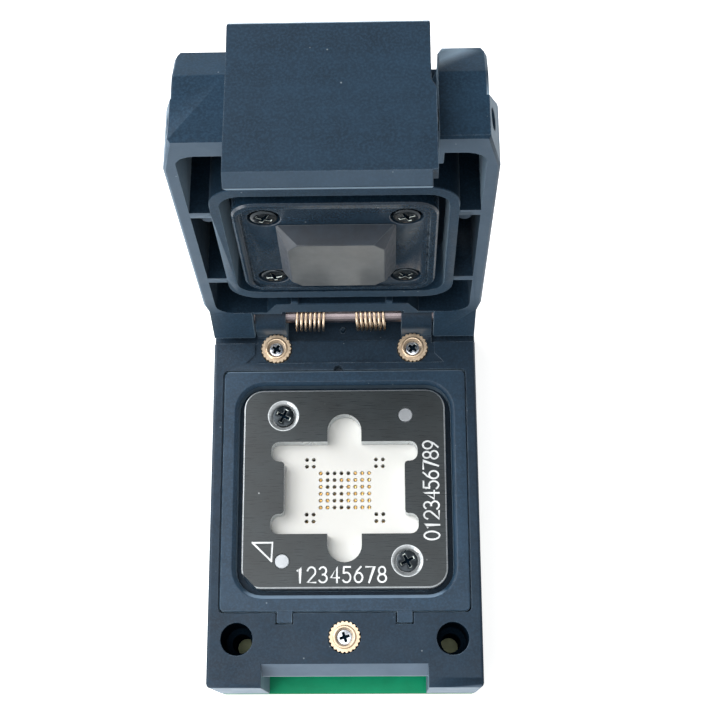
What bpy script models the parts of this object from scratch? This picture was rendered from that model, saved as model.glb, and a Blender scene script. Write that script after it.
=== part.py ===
"""Clamshell test socket for a small ball grid chip, standing open on its board.

Millimetre sizes are turned into metres by MM.
X is the width, +Y points at the hinge, +Z is up.
The origin is on the underside of the board, below the middle of the chip seat.
The lid is drawn closed around its hinge axis and then swung open by its parent empty.
In the lid, s is the distance from the hinge axis towards the latch,
and h is the height above the rim that faces the base when the lid is shut.
"""
import math

import bmesh
import bpy
from mathutils import Matrix, Vector

MM = 0.001

# Ball grid of the chip and its probes
PITCH = 0.8 * MM
GRID_COLUMNS = 8
GRID_ROWS = 6
CORNER_GROUP_REACH_X = 5.5
CORNER_GROUP_REACH_Y = 4.5
PROBE_DIAMETER = 0.34 * MM
PROBE_HOLE = 0.5 * MM
PROBE_DROP = 0.12 * MM
PROBE_LAYOUT = ("P....PPP", "P..PPPPP", "P...PPPP", "PP..PPPP", "PP..PPPP", "PP...PPP")

# Gaps
SEAT_GAP = 0.08 * MM
FIT_GAP = 0.05 * MM

# Board under the housing
BOARD_THICKNESS = 1.6 * MM
BOARD_CORNER = 0.6 * MM

# Sprung table that carries the chip: guide frame, pin plate and carrier
TABLE_TRAVEL = 0.5 * MM
FRAME_WIDTH = 23.2 * MM
FRAME_LENGTH = 22.9 * MM
FRAME_CORNER = 2.2 * MM
FRAME_THICKNESS = 1.8 * MM
FRAME_PROUD = 0.15 * MM
FRAME_EDGE = 0.15 * MM
FRAME_MARK_CHAMFER = 1.8 * MM
CHIP_WIDTH = 13.5 * MM
CHIP_LENGTH = 10.5 * MM
CHIP_PLAY_X = 0.15 * MM
CHIP_PLAY_Y = 0.08 * MM
CHIP_RELIEF_OUT = 1.5 * MM
CHIP_RELIEF_HEIGHT = 2.3 * MM
CHIP_RELIEF_CORNER = 0.9 * MM
FINGER_WIDTH = 3.9 * MM
FINGER_OUT = 3.23 * MM
FRAME_SCREW_INSET_X = 4.55 * MM
FRAME_SCREW_INSET_Y = 3.03 * MM
FRAME_SCREW_HEAD = 2.5 * MM
FRAME_SCREW_HEAD_HEIGHT = 0.75 * MM
FRAME_SCREW_SINK = 3.45 * MM
FRAME_SCREW_SHANK = 1.5 * MM
FRAME_SCREW_LOW = 0.1 * MM
FRAME_SCREW_TURN = 28.0
DOWEL_DIAMETER = 1.7 * MM
PIN_PLATE_MARGIN_X = 1.35 * MM
PIN_PLATE_MARGIN_Y = 0.6 * MM
PIN_PLATE_THICKNESS = 1.2 * MM
CARRIER_BOSS_MARGIN = 0.12 * MM
CARRIER_FLANGE = 0.6 * MM
CARRIER_THICKNESS = 2.7 * MM
CARRIER_FIT = 0.3 * MM
CARRIER_WINDOW_MARGIN = 1.2 * MM
TABLE_SPRING_INSET = 1.25 * MM
TABLE_SPRING_DIAMETER = 2.2 * MM
TABLE_SPRING_WIRE = 0.3 * MM
TABLE_SPRING_SINK = 1.0 * MM
TABLE_SPRING_LENGTH = 3.7 * MM

# Cover plate, snapped flush into the housing
COVER_WINDOW_GAP = 0.7 * MM
COVER_SIDE = 1.7 * MM
COVER_END_FRONT = 1.85 * MM
COVER_END_REAR = 1.65 * MM
COVER_THICKNESS = 2.0 * MM
COVER_GAP = 0.14 * MM
COVER_CORNER = 0.6 * MM
COVER_WINDOW_CORNER = 3.0 * MM
COVER_WINDOW_CHAMFER = 0.4 * MM
TAB_SPACING = 13.4 * MM
TAB_WIDTH = 1.7 * MM
TAB_LENGTH = 1.25 * MM
PRY_NOTCH_X = -0.7 * MM
PRY_NOTCH_RADIUS = 0.55 * MM
PRY_NOTCH_DEPTH = 1.2 * MM

# Housing
BASE_SIDE = 1.3 * MM
BASE_END_FRONT = 8.3 * MM
BASE_END_REAR = 9.1 * MM
BASE_HEIGHT = 12.5 * MM
BASE_CORNER = 0.5 * MM
BASE_EDGE = 0.25 * MM

# Block that holds the sprung probes
PROBE_BLOCK_MARGIN = 3.8 * MM
PROBE_BLOCK_FREE = 0.5 * MM
PROBE_BLOCK_FLANGE = 1.5 * MM
PROBE_BLOCK_FLANGE_HEIGHT = 1.6 * MM

# Brass inserts with the board screws in them, and the two mounting holes
INSERT_X = 8.0 * MM
INSERT_FROM_COVER = 2.8 * MM
INSERT_DIAMETER = 3.55 * MM
INSERT_LENGTH = 5.5 * MM
INSERT_TEETH = 22
INSERT_TOOTH = 0.14 * MM
INSERT_COLLAR = 2.5 * MM
INSERT_COLLAR_HEIGHT = 0.2 * MM
INSERT_HOLE = 1.8 * MM
BOARD_SCREW_SHANK = 1.6 * MM
BOARD_SCREW_HEAD = 3.6 * MM
BOARD_SCREW_HEAD_HEIGHT = 1.1 * MM
BOARD_SCREW_TIP_DEPTH = 0.7 * MM
MOUNT_HOLE_INSET = 3.3 * MM
MOUNT_HOLE_FROM_COVER = 3.0 * MM
MOUNT_HOLE_DIAMETER = 3.6 * MM
MOUNT_HOLE_DEPTH = 6.2 * MM
MOUNT_HOLE_THROUGH = 2.2 * MM

# Hinge
HINGE_INSET = 2.8 * MM
HINGE_RISE = 2.2 * MM
SHAFT_DIAMETER = 2.0 * MM
SHAFT_INSET = 0.25 * MM
KNUCKLE_IN = 6.7 * MM
KNUCKLE_WIDTH = 3.5 * MM
KNUCKLE_RADIUS = 2.0 * MM
SPRING_POCKET_FRONT = 2.5 * MM
SPRING_POCKET_WALL = 0.9 * MM
SPRING_POCKET_DEPTH = 1.5 * MM
ARM_GAP = 0.2 * MM
ARM_INSET = 0.15 * MM
ARM_RADIUS = 2.75 * MM
ARM_CLEARANCE = 0.35 * MM
PIP_X = -0.2 * MM
PIP_FROM_HINGE = 0.9 * MM
PIP_RADIUS = 0.35 * MM
PIP_HEIGHT = 0.5 * MM
INSERT_STEP_DEPTH = 0.25 * MM
INSERT_STEP_MARGIN = 0.75 * MM
INSERT_STEP_CORNER = 1.1 * MM
TORSION_LEFT_GAP = 0.85 * MM
TORSION_RIGHT_X = 1.15 * MM
TORSION_TURNS = 7
TORSION_PITCH = 0.52 * MM
TORSION_WIRE = 0.33 * MM
TORSION_RADIUS = 1.93 * MM
TORSION_FOOT_LEG = 2.65 * MM
TORSION_TOP_LEG = 2.3 * MM

# Latch
LATCH_WIDTH = 18.2 * MM
LATCH_LUG = 0.45 * MM
LATCH_LUG_TOP = 4.3 * MM
LATCH_LUG_DEPTH = 1.7 * MM
LATCH_THICKNESS = 3.15 * MM
LATCH_TOP = 10.3 * MM
LATCH_TOP_INSET = 0.9 * MM
LATCH_GRIP_START = 5.8 * MM
LATCH_GRIP_FLARE = 0.35 * MM
LATCH_PLAY = 0.3 * MM
HOOK_PLAY = 0.18 * MM
HOOK_REACH = 0.8 * MM
HOOK_SLOPE = 0.15 * MM
HOOK_NOSE = 0.35 * MM
HOOK_HEIGHT = 1.9 * MM
HOOK_BEVEL = 1.0 * MM
HOOK_TIP_INSET = 1.15 * MM
LATCH_PIN_INSET = 1.9 * MM
LATCH_PIN_H = 3.0 * MM
LATCH_PIN_DIAMETER = 2.0 * MM
LATCH_BOSS_RADIUS = 1.8 * MM
LATCH_SPRING_X = 5.0 * MM
LATCH_SPRING_H = 7.9 * MM
LATCH_SPRING_DIAMETER = 2.2 * MM
LATCH_SPRING_WIRE = 0.3 * MM
LATCH_SPRING_SINK = 0.8 * MM
LATCH_SPRING_REACH = 0.7 * MM
LATCH_SPRING_FREE = 1.3 * MM

# Front notch with the lip that the latch catches
NOTCH_CLEARANCE = 0.15 * MM
LIP_INSET = 1.4 * MM
LIP_REACH = 1.2 * MM
LIP_SLOPE_DEPTH = 2.0 * MM
LIP_DEPTH = 3.0 * MM
LIP_UNDERCUT = 1.0 * MM
LEG_SLOPE_LENGTH = 1.1 * MM
LEG_SLOPE_DROP = 0.35 * MM

# Lid
LID_OPEN_ANGLE = 95.8
LID_CLOSED_GAP = 0.82 * MM
LID_OVERHANG = 0.3 * MM
LID_FOOT = 3.0 * MM
LID_FOOT_CORNER = 2.6 * MM
LID_TAPER = 5.2 * MM
LID_END_GAP = 1.0 * MM
LID_FLANGE_HEIGHT = 6.6 * MM
LID_SHOULDER = 1.2 * MM
LID_SHOULDER_DROP = 2.2 * MM
LID_DECK_HEIGHT = 10.5 * MM
LID_DECK_SLOPE_LENGTH = 1.6 * MM
LID_DECK_REAR = 7.5 * MM
LID_EDGE = 0.25 * MM
EAR_CHAMFER_WIDTH = 0.45 * MM
EAR_CHAMFER_HEIGHT = 0.9 * MM
SLOT_CLEARANCE = 0.3 * MM
SLOT_DEPTH = 4.0 * MM
SLOT_WALL = 0.5 * MM
LID_WALL = 1.3 * MM
LID_END_WALL = 2.7 * MM
POCKET_REAR_SIDE = 3.67 * MM
POCKET_REAR_MIDDLE = 5.9 * MM
POCKET_STEP_OUT = 8.6 * MM
POCKET_STEP_IN = 7.4 * MM
POCKET_CORNER = 1.9 * MM
POCKET_ROOF = 2.5 * MM
RIB_FRONT = 7.2 * MM
RIB_REAR = 7.75 * MM
RIB_THICKNESS = 1.0 * MM
BOSS_OUT = 0.7 * MM
BOSS_FORWARD = 4.2 * MM
BOSS_RADIUS = 0.7 * MM
BOSS_TOP = 1.2 * MM
NUB_X = 5.3 * MM
NUB_WIDTH = 0.8 * MM
NUB_LENGTH = 0.6 * MM
CUTOUT_SIDE_GAP = 0.55 * MM
CUTOUT_MIDDLE_GAP = 0.25 * MM
CUTOUT_MIDDLE = 3.15 * MM
FOOT_CHAMFER_LENGTH = 0.6 * MM
FOOT_CHAMFER_HEIGHT = 0.3 * MM

# Pusher that presses the chip, and the ring round it
PUSHER_TRAVEL = 0.9 * MM
PUSHER_WIDTH = 20.4 * MM
PUSHER_LENGTH = 19.6 * MM
PUSHER_CORNER = 2.4 * MM
PUSHER_RIM_H = -0.35 * MM
PUSHER_RIM_WIDTH = 0.8 * MM
PUSHER_FLOOR_H = -0.1 * MM
PUSHER_BACK_H = 2.9 * MM
PUSHER_EDGE = 0.2 * MM
PUSHER_GAP = 1.05 * MM
RING_CORNER = 3.2 * MM
RING_WALL_SIDE = 0.95 * MM
RING_WALL_END = 1.5 * MM
RING_FLOOR = 5.0 * MM
BLOCK_FOOT_WIDTH = 12.0 * MM
BLOCK_FOOT_LENGTH = 10.6 * MM
BLOCK_FACE_WIDTH = 9.75 * MM
BLOCK_FACE_LENGTH = 9.4 * MM
BLOCK_FACE_H = -2.2 * MM
BLOCK_CORNER_CUT = 1.1 * MM
PUSHER_SCREW_INSET = 3.15 * MM
PUSHER_SCREW_HEAD = 2.9 * MM
PUSHER_SCREW_HEAD_TOP = -0.15 * MM
PUSHER_SCREW_HEAD_HEIGHT = 1.05 * MM
PUSHER_SCREW_SHANK = 1.5 * MM
PUSHER_SCREW_THREAD = 3.6 * MM
PUSHER_SINK_GAP = 0.2 * MM
PUSHER_SPRING_DIAMETER = 2.5 * MM
PUSHER_SPRING_WIRE = 0.3 * MM
PUSHER_SPRING_SINK = 1.0 * MM
PUSHER_WEB = 0.5 * MM

# Facets of round shapes
ROUND_STEPS = 28
SMALL_STEPS = 16
SPRING_STEPS = 8
SPRING_SIDES = 4
HOLE_SIDES = 6

# Places across, from the chip outwards
SEAT_WIDTH = CHIP_WIDTH + 2 * CHIP_PLAY_X
SEAT_LENGTH = CHIP_LENGTH + 2 * CHIP_PLAY_Y
RELIEF_REACH = SEAT_WIDTH / 2 + CHIP_RELIEF_OUT
FINGER_REACH = SEAT_LENGTH / 2 + FINGER_OUT
PIN_PLATE_WIDTH = 2 * (RELIEF_REACH + PIN_PLATE_MARGIN_X)
PIN_PLATE_LENGTH = 2 * (FINGER_REACH + PIN_PLATE_MARGIN_Y)
FRAME_SCREW_X = FRAME_WIDTH / 2 - FRAME_SCREW_INSET_X
FRAME_SCREW_Y = FRAME_LENGTH / 2 - FRAME_SCREW_INSET_Y
TABLE_SPRING_X = FRAME_WIDTH / 2 - TABLE_SPRING_INSET
TABLE_SPRING_Y = FRAME_LENGTH / 2 - TABLE_SPRING_INSET
GRID_REACH_X = CORNER_GROUP_REACH_X * PITCH
GRID_REACH_Y = CORNER_GROUP_REACH_Y * PITCH
COVER_WINDOW_WIDTH = FRAME_WIDTH + 2 * COVER_WINDOW_GAP
COVER_WINDOW_LENGTH = FRAME_LENGTH + 2 * COVER_WINDOW_GAP
COVER_WIDTH = COVER_WINDOW_WIDTH + 2 * COVER_SIDE
COVER_FRONT = -COVER_WINDOW_LENGTH / 2 - COVER_END_FRONT
COVER_REAR = COVER_WINDOW_LENGTH / 2 + COVER_END_REAR
BASE_WIDTH = COVER_WIDTH + 2 * BASE_SIDE
BASE_FRONT = COVER_FRONT - BASE_END_FRONT
BASE_REAR = COVER_REAR + BASE_END_REAR
INSERT_REAR_Y = COVER_REAR + INSERT_FROM_COVER
INSERT_FRONT_Y = COVER_FRONT - INSERT_FROM_COVER
MOUNT_HOLE_X = BASE_WIDTH / 2 - MOUNT_HOLE_INSET
MOUNT_HOLE_Y = COVER_FRONT - MOUNT_HOLE_FROM_COVER
HINGE_Y = BASE_REAR - HINGE_INSET
KNUCKLE_OUT = KNUCKLE_IN + KNUCKLE_WIDTH
ARM_IN = KNUCKLE_OUT + ARM_GAP
ARM_OUT = BASE_WIDTH / 2 - ARM_INSET
SHAFT_LENGTH = 2 * (ARM_OUT - SHAFT_INSET)
TORSION_LEFT_X = TORSION_LEFT_GAP - KNUCKLE_IN
NOTCH_WIDTH = LATCH_WIDTH + 2 * NOTCH_CLEARANCE
LIP_Y = BASE_FRONT + LIP_INSET
NOTCH_Y = LIP_Y + LIP_REACH
LIP_UNDERCUT_Y = LIP_Y + LIP_UNDERCUT
LEG_SLOPE_START = BASE_FRONT + LEG_SLOPE_LENGTH

# Places in the lid, as s from the hinge axis
RING_CENTRE = HINGE_Y
RING_WIDTH = PUSHER_WIDTH + 2 * (PUSHER_GAP + RING_WALL_SIDE)
RING_LENGTH = PUSHER_LENGTH + 2 * (PUSHER_GAP + RING_WALL_END)
PUSHER_SCREW_X = PUSHER_WIDTH / 2 - PUSHER_SCREW_INSET
PUSHER_SCREW_S = PUSHER_LENGTH / 2 - PUSHER_SCREW_INSET
LID_WIDTH = BASE_WIDTH + 2 * LID_OVERHANG
LID_DECK_WIDTH = LID_WIDTH - 2 * LID_SHOULDER
LID_FRONT = HINGE_Y - BASE_FRONT - LID_END_GAP
LID_TAPER_START = LID_FRONT - LID_TAPER
POCKET_HALF = LID_WIDTH / 2 - LID_WALL
POCKET_FRONT = LID_FRONT - LID_END_WALL
SLOT_BACK = LID_FRONT - SLOT_DEPTH
SLOT_LEFT = -LATCH_WIDTH / 2 - SLOT_CLEARANCE
SLOT_RIGHT = LATCH_WIDTH / 2 + LATCH_LUG + SLOT_CLEARANCE
LATCH_BACK = HINGE_Y - LIP_Y + LATCH_PLAY
LATCH_FACE = LATCH_BACK + LATCH_THICKNESS
LATCH_PIN_S = LID_FRONT - LATCH_PIN_INSET

# Heights
TOP = BOARD_THICKNESS + BASE_HEIGHT
HINGE_Z = TOP + HINGE_RISE
FRAME_TOP = TOP + FRAME_PROUD
FRAME_BOTTOM = FRAME_TOP - FRAME_THICKNESS
PIN_PLATE_TOP = FRAME_BOTTOM - SEAT_GAP
PIN_PLATE_BOTTOM = PIN_PLATE_TOP - PIN_PLATE_THICKNESS
COVER_BOTTOM = TOP - COVER_THICKNESS
FLANGE_TOP = COVER_BOTTOM - SEAT_GAP
CARRIER_BOTTOM = PIN_PLATE_TOP - CARRIER_THICKNESS
POCKET_FLOOR = CARRIER_BOTTOM + TABLE_SPRING_SINK - TABLE_SPRING_LENGTH - SEAT_GAP
PROBE_BLOCK_HIGH = CARRIER_BOTTOM - TABLE_TRAVEL - PROBE_BLOCK_FREE
LID_RIM_DROP = HINGE_RISE - LID_CLOSED_GAP
POCKET_DEPTH = LID_DECK_HEIGHT - POCKET_ROOF
PUSHER_SCREW_END = RING_FLOOR + PUSHER_SCREW_THREAD
HOOK_CATCH_H = -LIP_DEPTH - LID_CLOSED_GAP - HOOK_PLAY


def material(name, colour, roughness, metallic):
    """A plain Principled material."""
    found = bpy.data.materials.get(name)
    if found:
        return found
    made = bpy.data.materials.new(name)
    made.use_nodes = True
    shader = made.node_tree.nodes["Principled BSDF"]
    shader.inputs["Base Color"].default_value = (*colour, 1.0)
    shader.inputs["Roughness"].default_value = roughness
    shader.inputs["Metallic"].default_value = metallic
    return made


def black_plastic():
    return material("black_plastic", (0.022, 0.030, 0.042), 0.42, 0.0)


def arc(cx, cy, radius, start, end, steps):
    """Points on an arc, from start to end in degrees."""
    points = []
    for i in range(steps + 1):
        angle = math.radians(start + (end - start) * i / steps)
        points.append((cx + radius * math.cos(angle), cy + radius * math.sin(angle)))
    return points


def rounded_rectangle(cx, cy, width, length, radius, steps=6):
    """Outline of a rectangle with round corners, counter-clockwise."""
    x = width / 2 - radius
    y = length / 2 - radius
    points = []
    for sx, sy, start in ((1, -1, -90), (1, 1, 0), (-1, 1, 90), (-1, -1, 180)):
        points += arc(cx + sx * x, cy + sy * y, radius, start, start + 90, steps)
    return points


def rectangle(x0, y0, x1, y1):
    return [(x0, y0), (x1, y0), (x1, y1), (x0, y1)]


def mesh_object(name, mesh_maker, look, smooth=True):
    """Turn a filled bmesh into a named object with its material."""
    mesh_maker.normal_update()
    bmesh.ops.recalc_face_normals(mesh_maker, faces=mesh_maker.faces)
    mesh = bpy.data.meshes.new(name)
    mesh_maker.to_mesh(mesh)
    mesh_maker.free()
    if smooth:
        mesh.shade_smooth()
        mesh.set_sharp_from_angle(angle=math.radians(35))
    if look:
        mesh.materials.append(look)
    made = bpy.data.objects.new(name, mesh)
    bpy.context.collection.objects.link(made)
    return made


def add_prism(bm, outline, low, high, axis="Z"):
    """Extrude a flat outline; axis X takes the outline as (y, z)."""
    def place(u, v, w):
        if axis == "X":
            return (w, u, v)
        return (u, v, w)
    bottom = [bm.verts.new(place(u, v, low)) for u, v in outline]
    face = bm.faces.new(bottom)
    moved = bmesh.ops.extrude_face_region(bm, geom=[face])
    top = [item for item in moved["geom"] if isinstance(item, bmesh.types.BMVert)]
    shift = Vector(place(0, 0, high - low))
    bmesh.ops.translate(bm, verts=top, vec=shift)
    return bottom + top


def add_wedge(bm, outline, low, high):
    """Extrude an outline of (x, z) points along Y."""
    front = [bm.verts.new((x, low, z)) for x, z in outline]
    face = bm.faces.new(front)
    moved = bmesh.ops.extrude_face_region(bm, geom=[face])
    back = [item for item in moved["geom"] if isinstance(item, bmesh.types.BMVert)]
    bmesh.ops.translate(bm, verts=back, vec=Vector((0, high - low, 0)))


def prism(name, outline, low, high, look=None, axis="Z", edge=0.0):
    """A solid prism, with its rim edges bevelled where edge is given."""
    bm = bmesh.new()
    add_prism(bm, outline, low, high, axis)
    bmesh.ops.recalc_face_normals(bm, faces=bm.faces)
    if edge:
        caps = [item for item in bm.edges
                if any(len(face.verts) == len(outline) for face in item.link_faces)
                and item.calc_face_angle(0.0) > math.radians(40)]
        bmesh.ops.bevel(bm, geom=caps, offset=edge, segments=1, affect="EDGES")
    return mesh_object(name, bm, look)


def loft(name, lower, upper, low, high, look=None):
    """A solid between two outlines with the same number of points."""
    bm = bmesh.new()
    rings = []
    for outline, z in ((lower, low), (upper, high)):
        rings.append([bm.verts.new((x, y, z)) for x, y in outline])
    count = len(lower)
    for i in range(count):
        j = (i + 1) % count
        bm.faces.new((rings[0][i], rings[0][j], rings[1][j], rings[1][i]))
    bm.faces.new(rings[0])
    bm.faces.new(rings[1])
    return mesh_object(name, bm, look)


def add_turned(bm, profile, steps, centre=(0, 0, 0), axis="Z"):
    """Revolve a profile of (radius, height) points round its axis and close it."""
    rings = []
    for radius, height in profile:
        if radius == 0:
            rings.append([bm.verts.new((0, 0, height))])
            continue
        ring = []
        for i in range(steps):
            angle = 2 * math.pi * i / steps
            ring.append(bm.verts.new((radius * math.cos(angle), radius * math.sin(angle), height)))
        rings.append(ring)
    for lower, upper in zip(rings, rings[1:]):
        for i in range(steps):
            j = (i + 1) % steps
            if len(lower) == 1:
                bm.faces.new((lower[0], upper[i], upper[j]))
            elif len(upper) == 1:
                bm.faces.new((lower[i], lower[j], upper[0]))
            else:
                bm.faces.new((lower[i], lower[j], upper[j], upper[i]))
    for ring in (rings[0], rings[-1]):
        if len(ring) > 1:
            bm.faces.new(ring)
    verts = [vert for ring in rings for vert in ring]
    turn = Matrix.Identity(4)
    if axis == "X":
        turn = Matrix.Rotation(math.radians(90), 4, "Y")
    if axis == "Y":
        turn = Matrix.Rotation(math.radians(90), 4, "X")
    bmesh.ops.transform(bm, matrix=Matrix.Translation(centre) @ turn, verts=verts)
    return verts


def turned(name, profile, steps, look=None, centre=(0, 0, 0), axis="Z"):
    bm = bmesh.new()
    add_turned(bm, profile, steps, centre, axis)
    return mesh_object(name, bm, look)


def rods(name, places, radius, low, high, steps=SMALL_STEPS, axis="Z"):
    """Several plain cylinders in one mesh, mostly used as one cutter."""
    bm = bmesh.new()
    for place in places:
        add_turned(bm, [(radius, low), (radius, high)], steps, place, axis)
    return mesh_object(name, bm, None)


def boolean(target, tool, operation):
    """Cut with or join a helper, which stays out of sight."""
    step = target.modifiers.new(tool.name, "BOOLEAN")
    step.operation = operation
    step.solver = "EXACT"
    step.object = tool
    tool.hide_render = True
    tool.display_type = "WIRE"
    if target.parent and not tool.parent:
        tool.parent = target.parent
    return target


def cut(target, tool):
    return boolean(target, tool, "DIFFERENCE")


def join(target, tool):
    return boolean(target, tool, "UNION")


def coil_points(radius, pitch, turns, steps_per_turn, dead_turns=0.0):
    """Centre line of a coil along +Z, with closed end turns if asked."""
    points = []
    total = int(round(turns * steps_per_turn))
    rise = 0.0
    for i in range(total + 1):
        turn = i / steps_per_turn
        angle = 2 * math.pi * turn
        points.append(Vector((radius * math.cos(angle), radius * math.sin(angle), rise)))
        closed = turn < dead_turns or turn >= turns - dead_turns
        rise += (pitch * (0.35 if closed else 1.0)) / steps_per_turn
    return points


def add_wire(bm, points, radius, sides):
    """A round wire swept along points, with flat ends."""
    rings = []
    normal = None
    for i, point in enumerate(points):
        before = points[max(i - 1, 0)]
        after = points[min(i + 1, len(points) - 1)]
        tangent = (after - before).normalized()
        if normal is None:
            normal = tangent.orthogonal().normalized()
        normal = (normal - tangent * normal.dot(tangent)).normalized()
        other = tangent.cross(normal)
        ring = []
        for k in range(sides):
            angle = 2 * math.pi * k / sides
            ring.append(bm.verts.new(point + radius * (math.cos(angle) * normal + math.sin(angle) * other)))
        rings.append(ring)
    for lower, upper in zip(rings, rings[1:]):
        for k in range(sides):
            m = (k + 1) % sides
            bm.faces.new((lower[k], lower[m], upper[m], upper[k]))
    bm.faces.new(rings[0])
    bm.faces.new(rings[-1])


def compression_spring(name, diameter, wire, length, look):
    """A small compression spring standing on the origin, along +Z."""
    radius = (diameter - wire) / 2
    turns = 4.5
    dead = 0.75
    pitch = (length - wire) / (turns - 2 * dead + 0.35 * 2 * dead)
    bm = bmesh.new()
    points = coil_points(radius, pitch, turns, SPRING_STEPS, dead)
    for point in points:
        point.z += wire / 2
    add_wire(bm, points, wire / 2, SPRING_SIDES)
    return mesh_object(name, bm, look)


def cross_recess(name, width, blade, top, depth, axis_sign=1):
    """A tapered cross, used to cut the drive recess of a screw head."""
    bm = bmesh.new()
    half = width / 2
    thin = blade / 2
    outline = [(half, -thin), (half, thin), (thin, thin), (thin, half), (-thin, half), (-thin, thin),
               (-half, thin), (-half, -thin), (-thin, -thin), (-thin, -half), (thin, -half), (thin, -thin)]
    rings = []
    for share, z in ((1.15, top + 0.1 * MM), (0.6, top - depth)):
        rings.append([bm.verts.new((x * share, y * share, z * axis_sign)) for x, y in outline])
    count = len(outline)
    for i in range(count):
        j = (i + 1) % count
        bm.faces.new((rings[0][i], rings[0][j], rings[1][j], rings[1][i]))
    bm.faces.new(rings[0])
    bm.faces.new(rings[1])
    return mesh_object(name, bm, None)


def screw(name, head, head_height, shank, length, look, countersunk, tip=0.3 * MM):
    """A cross-recess screw along Z, its head's top at z = 0 and its tip below."""
    crown = 0.12 * MM
    if countersunk:
        head_profile = [(head / 2, 0), (head / 2, -0.15 * MM), (shank / 2, -head_height)]
    else:
        head_profile = [(head / 2 - crown, 0), (head / 2, -crown), (head / 2, -head_height),
                        (shank / 2, -head_height)]
    profile = head_profile + [(shank / 2, tip - length), (shank / 2 - tip, -length)]
    made = turned(name, profile, SMALL_STEPS + 4, look)
    recess = cross_recess(name + "_recess_cutter", head * 0.62, head * 0.14, 0.0, head_height * 0.7)
    recess.parent = made
    cut(made, recess)
    return made


def grid_places(layout_only=False):
    """Ball places: the middle block and the four corner groups of four."""
    places = []
    for row in range(GRID_ROWS):
        for column in range(GRID_COLUMNS):
            if layout_only and PROBE_LAYOUT[row][column] != "P":
                continue
            x = (column - (GRID_COLUMNS - 1) / 2) * PITCH
            y = ((GRID_ROWS - 1) / 2 - row) * PITCH
            places.append((x, y, 0))
    if layout_only:
        return places
    for sx in (-1, 1):
        for sy in (-1, 1):
            for step_x in (0, 1):
                for step_y in (0, 1):
                    x = sx * (GRID_REACH_X - step_x * PITCH)
                    y = sy * (GRID_REACH_Y - step_y * PITCH)
                    places.append((x, y, 0))
    return places


def insert_places():
    return {"insert_rear_left": (-INSERT_X, INSERT_REAR_Y),
            "insert_rear_right": (INSERT_X, INSERT_REAR_Y),
            "insert_front": (0.0, INSERT_FRONT_Y)}


def make_board():
    """The small board under the socket, with countersunk screw holes."""
    length = BASE_REAR - BASE_FRONT
    outline = rounded_rectangle(0, (BASE_REAR + BASE_FRONT) / 2, BASE_WIDTH, length, BOARD_CORNER, 3)
    look = material("green_board", (0.015, 0.30, 0.17), 0.35, 0.0)
    board = prism("adapter_board", outline, 0, BOARD_THICKNESS - FIT_GAP, look)
    wide = BOARD_SCREW_HEAD / 2 + SEAT_GAP
    narrow = BOARD_SCREW_SHANK / 2 + 2 * SEAT_GAP
    bm = bmesh.new()
    for x, y in insert_places().values():
        profile = [(wide, -MM), (wide, 0.25 * MM), (narrow, BOARD_SCREW_HEAD_HEIGHT + 2 * SEAT_GAP),
                   (narrow, BOARD_THICKNESS + MM)]
        add_turned(bm, profile, SMALL_STEPS + 4, (x, y, 0))
    cut(board, mesh_object("board_hole_cutter", bm, None))
    return board


def block_foot(margin):
    """Outline of the probe block, widened by a margin."""
    x = GRID_REACH_X + PROBE_BLOCK_MARGIN + margin
    y = GRID_REACH_Y + PROBE_BLOCK_MARGIN + margin
    return rectangle(-x, -y, x, y)


def make_base():
    """The moulded housing: pockets, notch with its lip, hinge knuckles."""
    width = BASE_WIDTH
    centre = (BASE_REAR + BASE_FRONT) / 2
    outline = rounded_rectangle(0, centre, width, BASE_REAR - BASE_FRONT, BASE_CORNER, 3)
    bottom = BOARD_THICKNESS
    base = prism("base_housing", outline, bottom, TOP, black_plastic(), edge=BASE_EDGE)
    add_knuckles(base)
    cut_hinge_spaces(base)
    cut_cover_seat(base)
    cut_notch(base)
    cut_bores(base)
    return base


def knuckle_outline(radius, foot):
    """Side outline of a knuckle as (y, z), a round top on straight walls."""
    points = arc(HINGE_Y, HINGE_Z, radius, 180, 0, 12)
    return [(HINGE_Y - radius, foot)] + points + [(HINGE_Y + radius, foot)]


def add_knuckles(base):
    for side, name in ((-1, "left"), (1, "right")):
        inner = side * KNUCKLE_IN
        outer = side * KNUCKLE_OUT
        outline = knuckle_outline(KNUCKLE_RADIUS, TOP - SPRING_POCKET_DEPTH - MM)
        join(base, prism("knuckle_" + name + "_helper", outline, min(inner, outer), max(inner, outer),
                         axis="X"))


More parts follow.
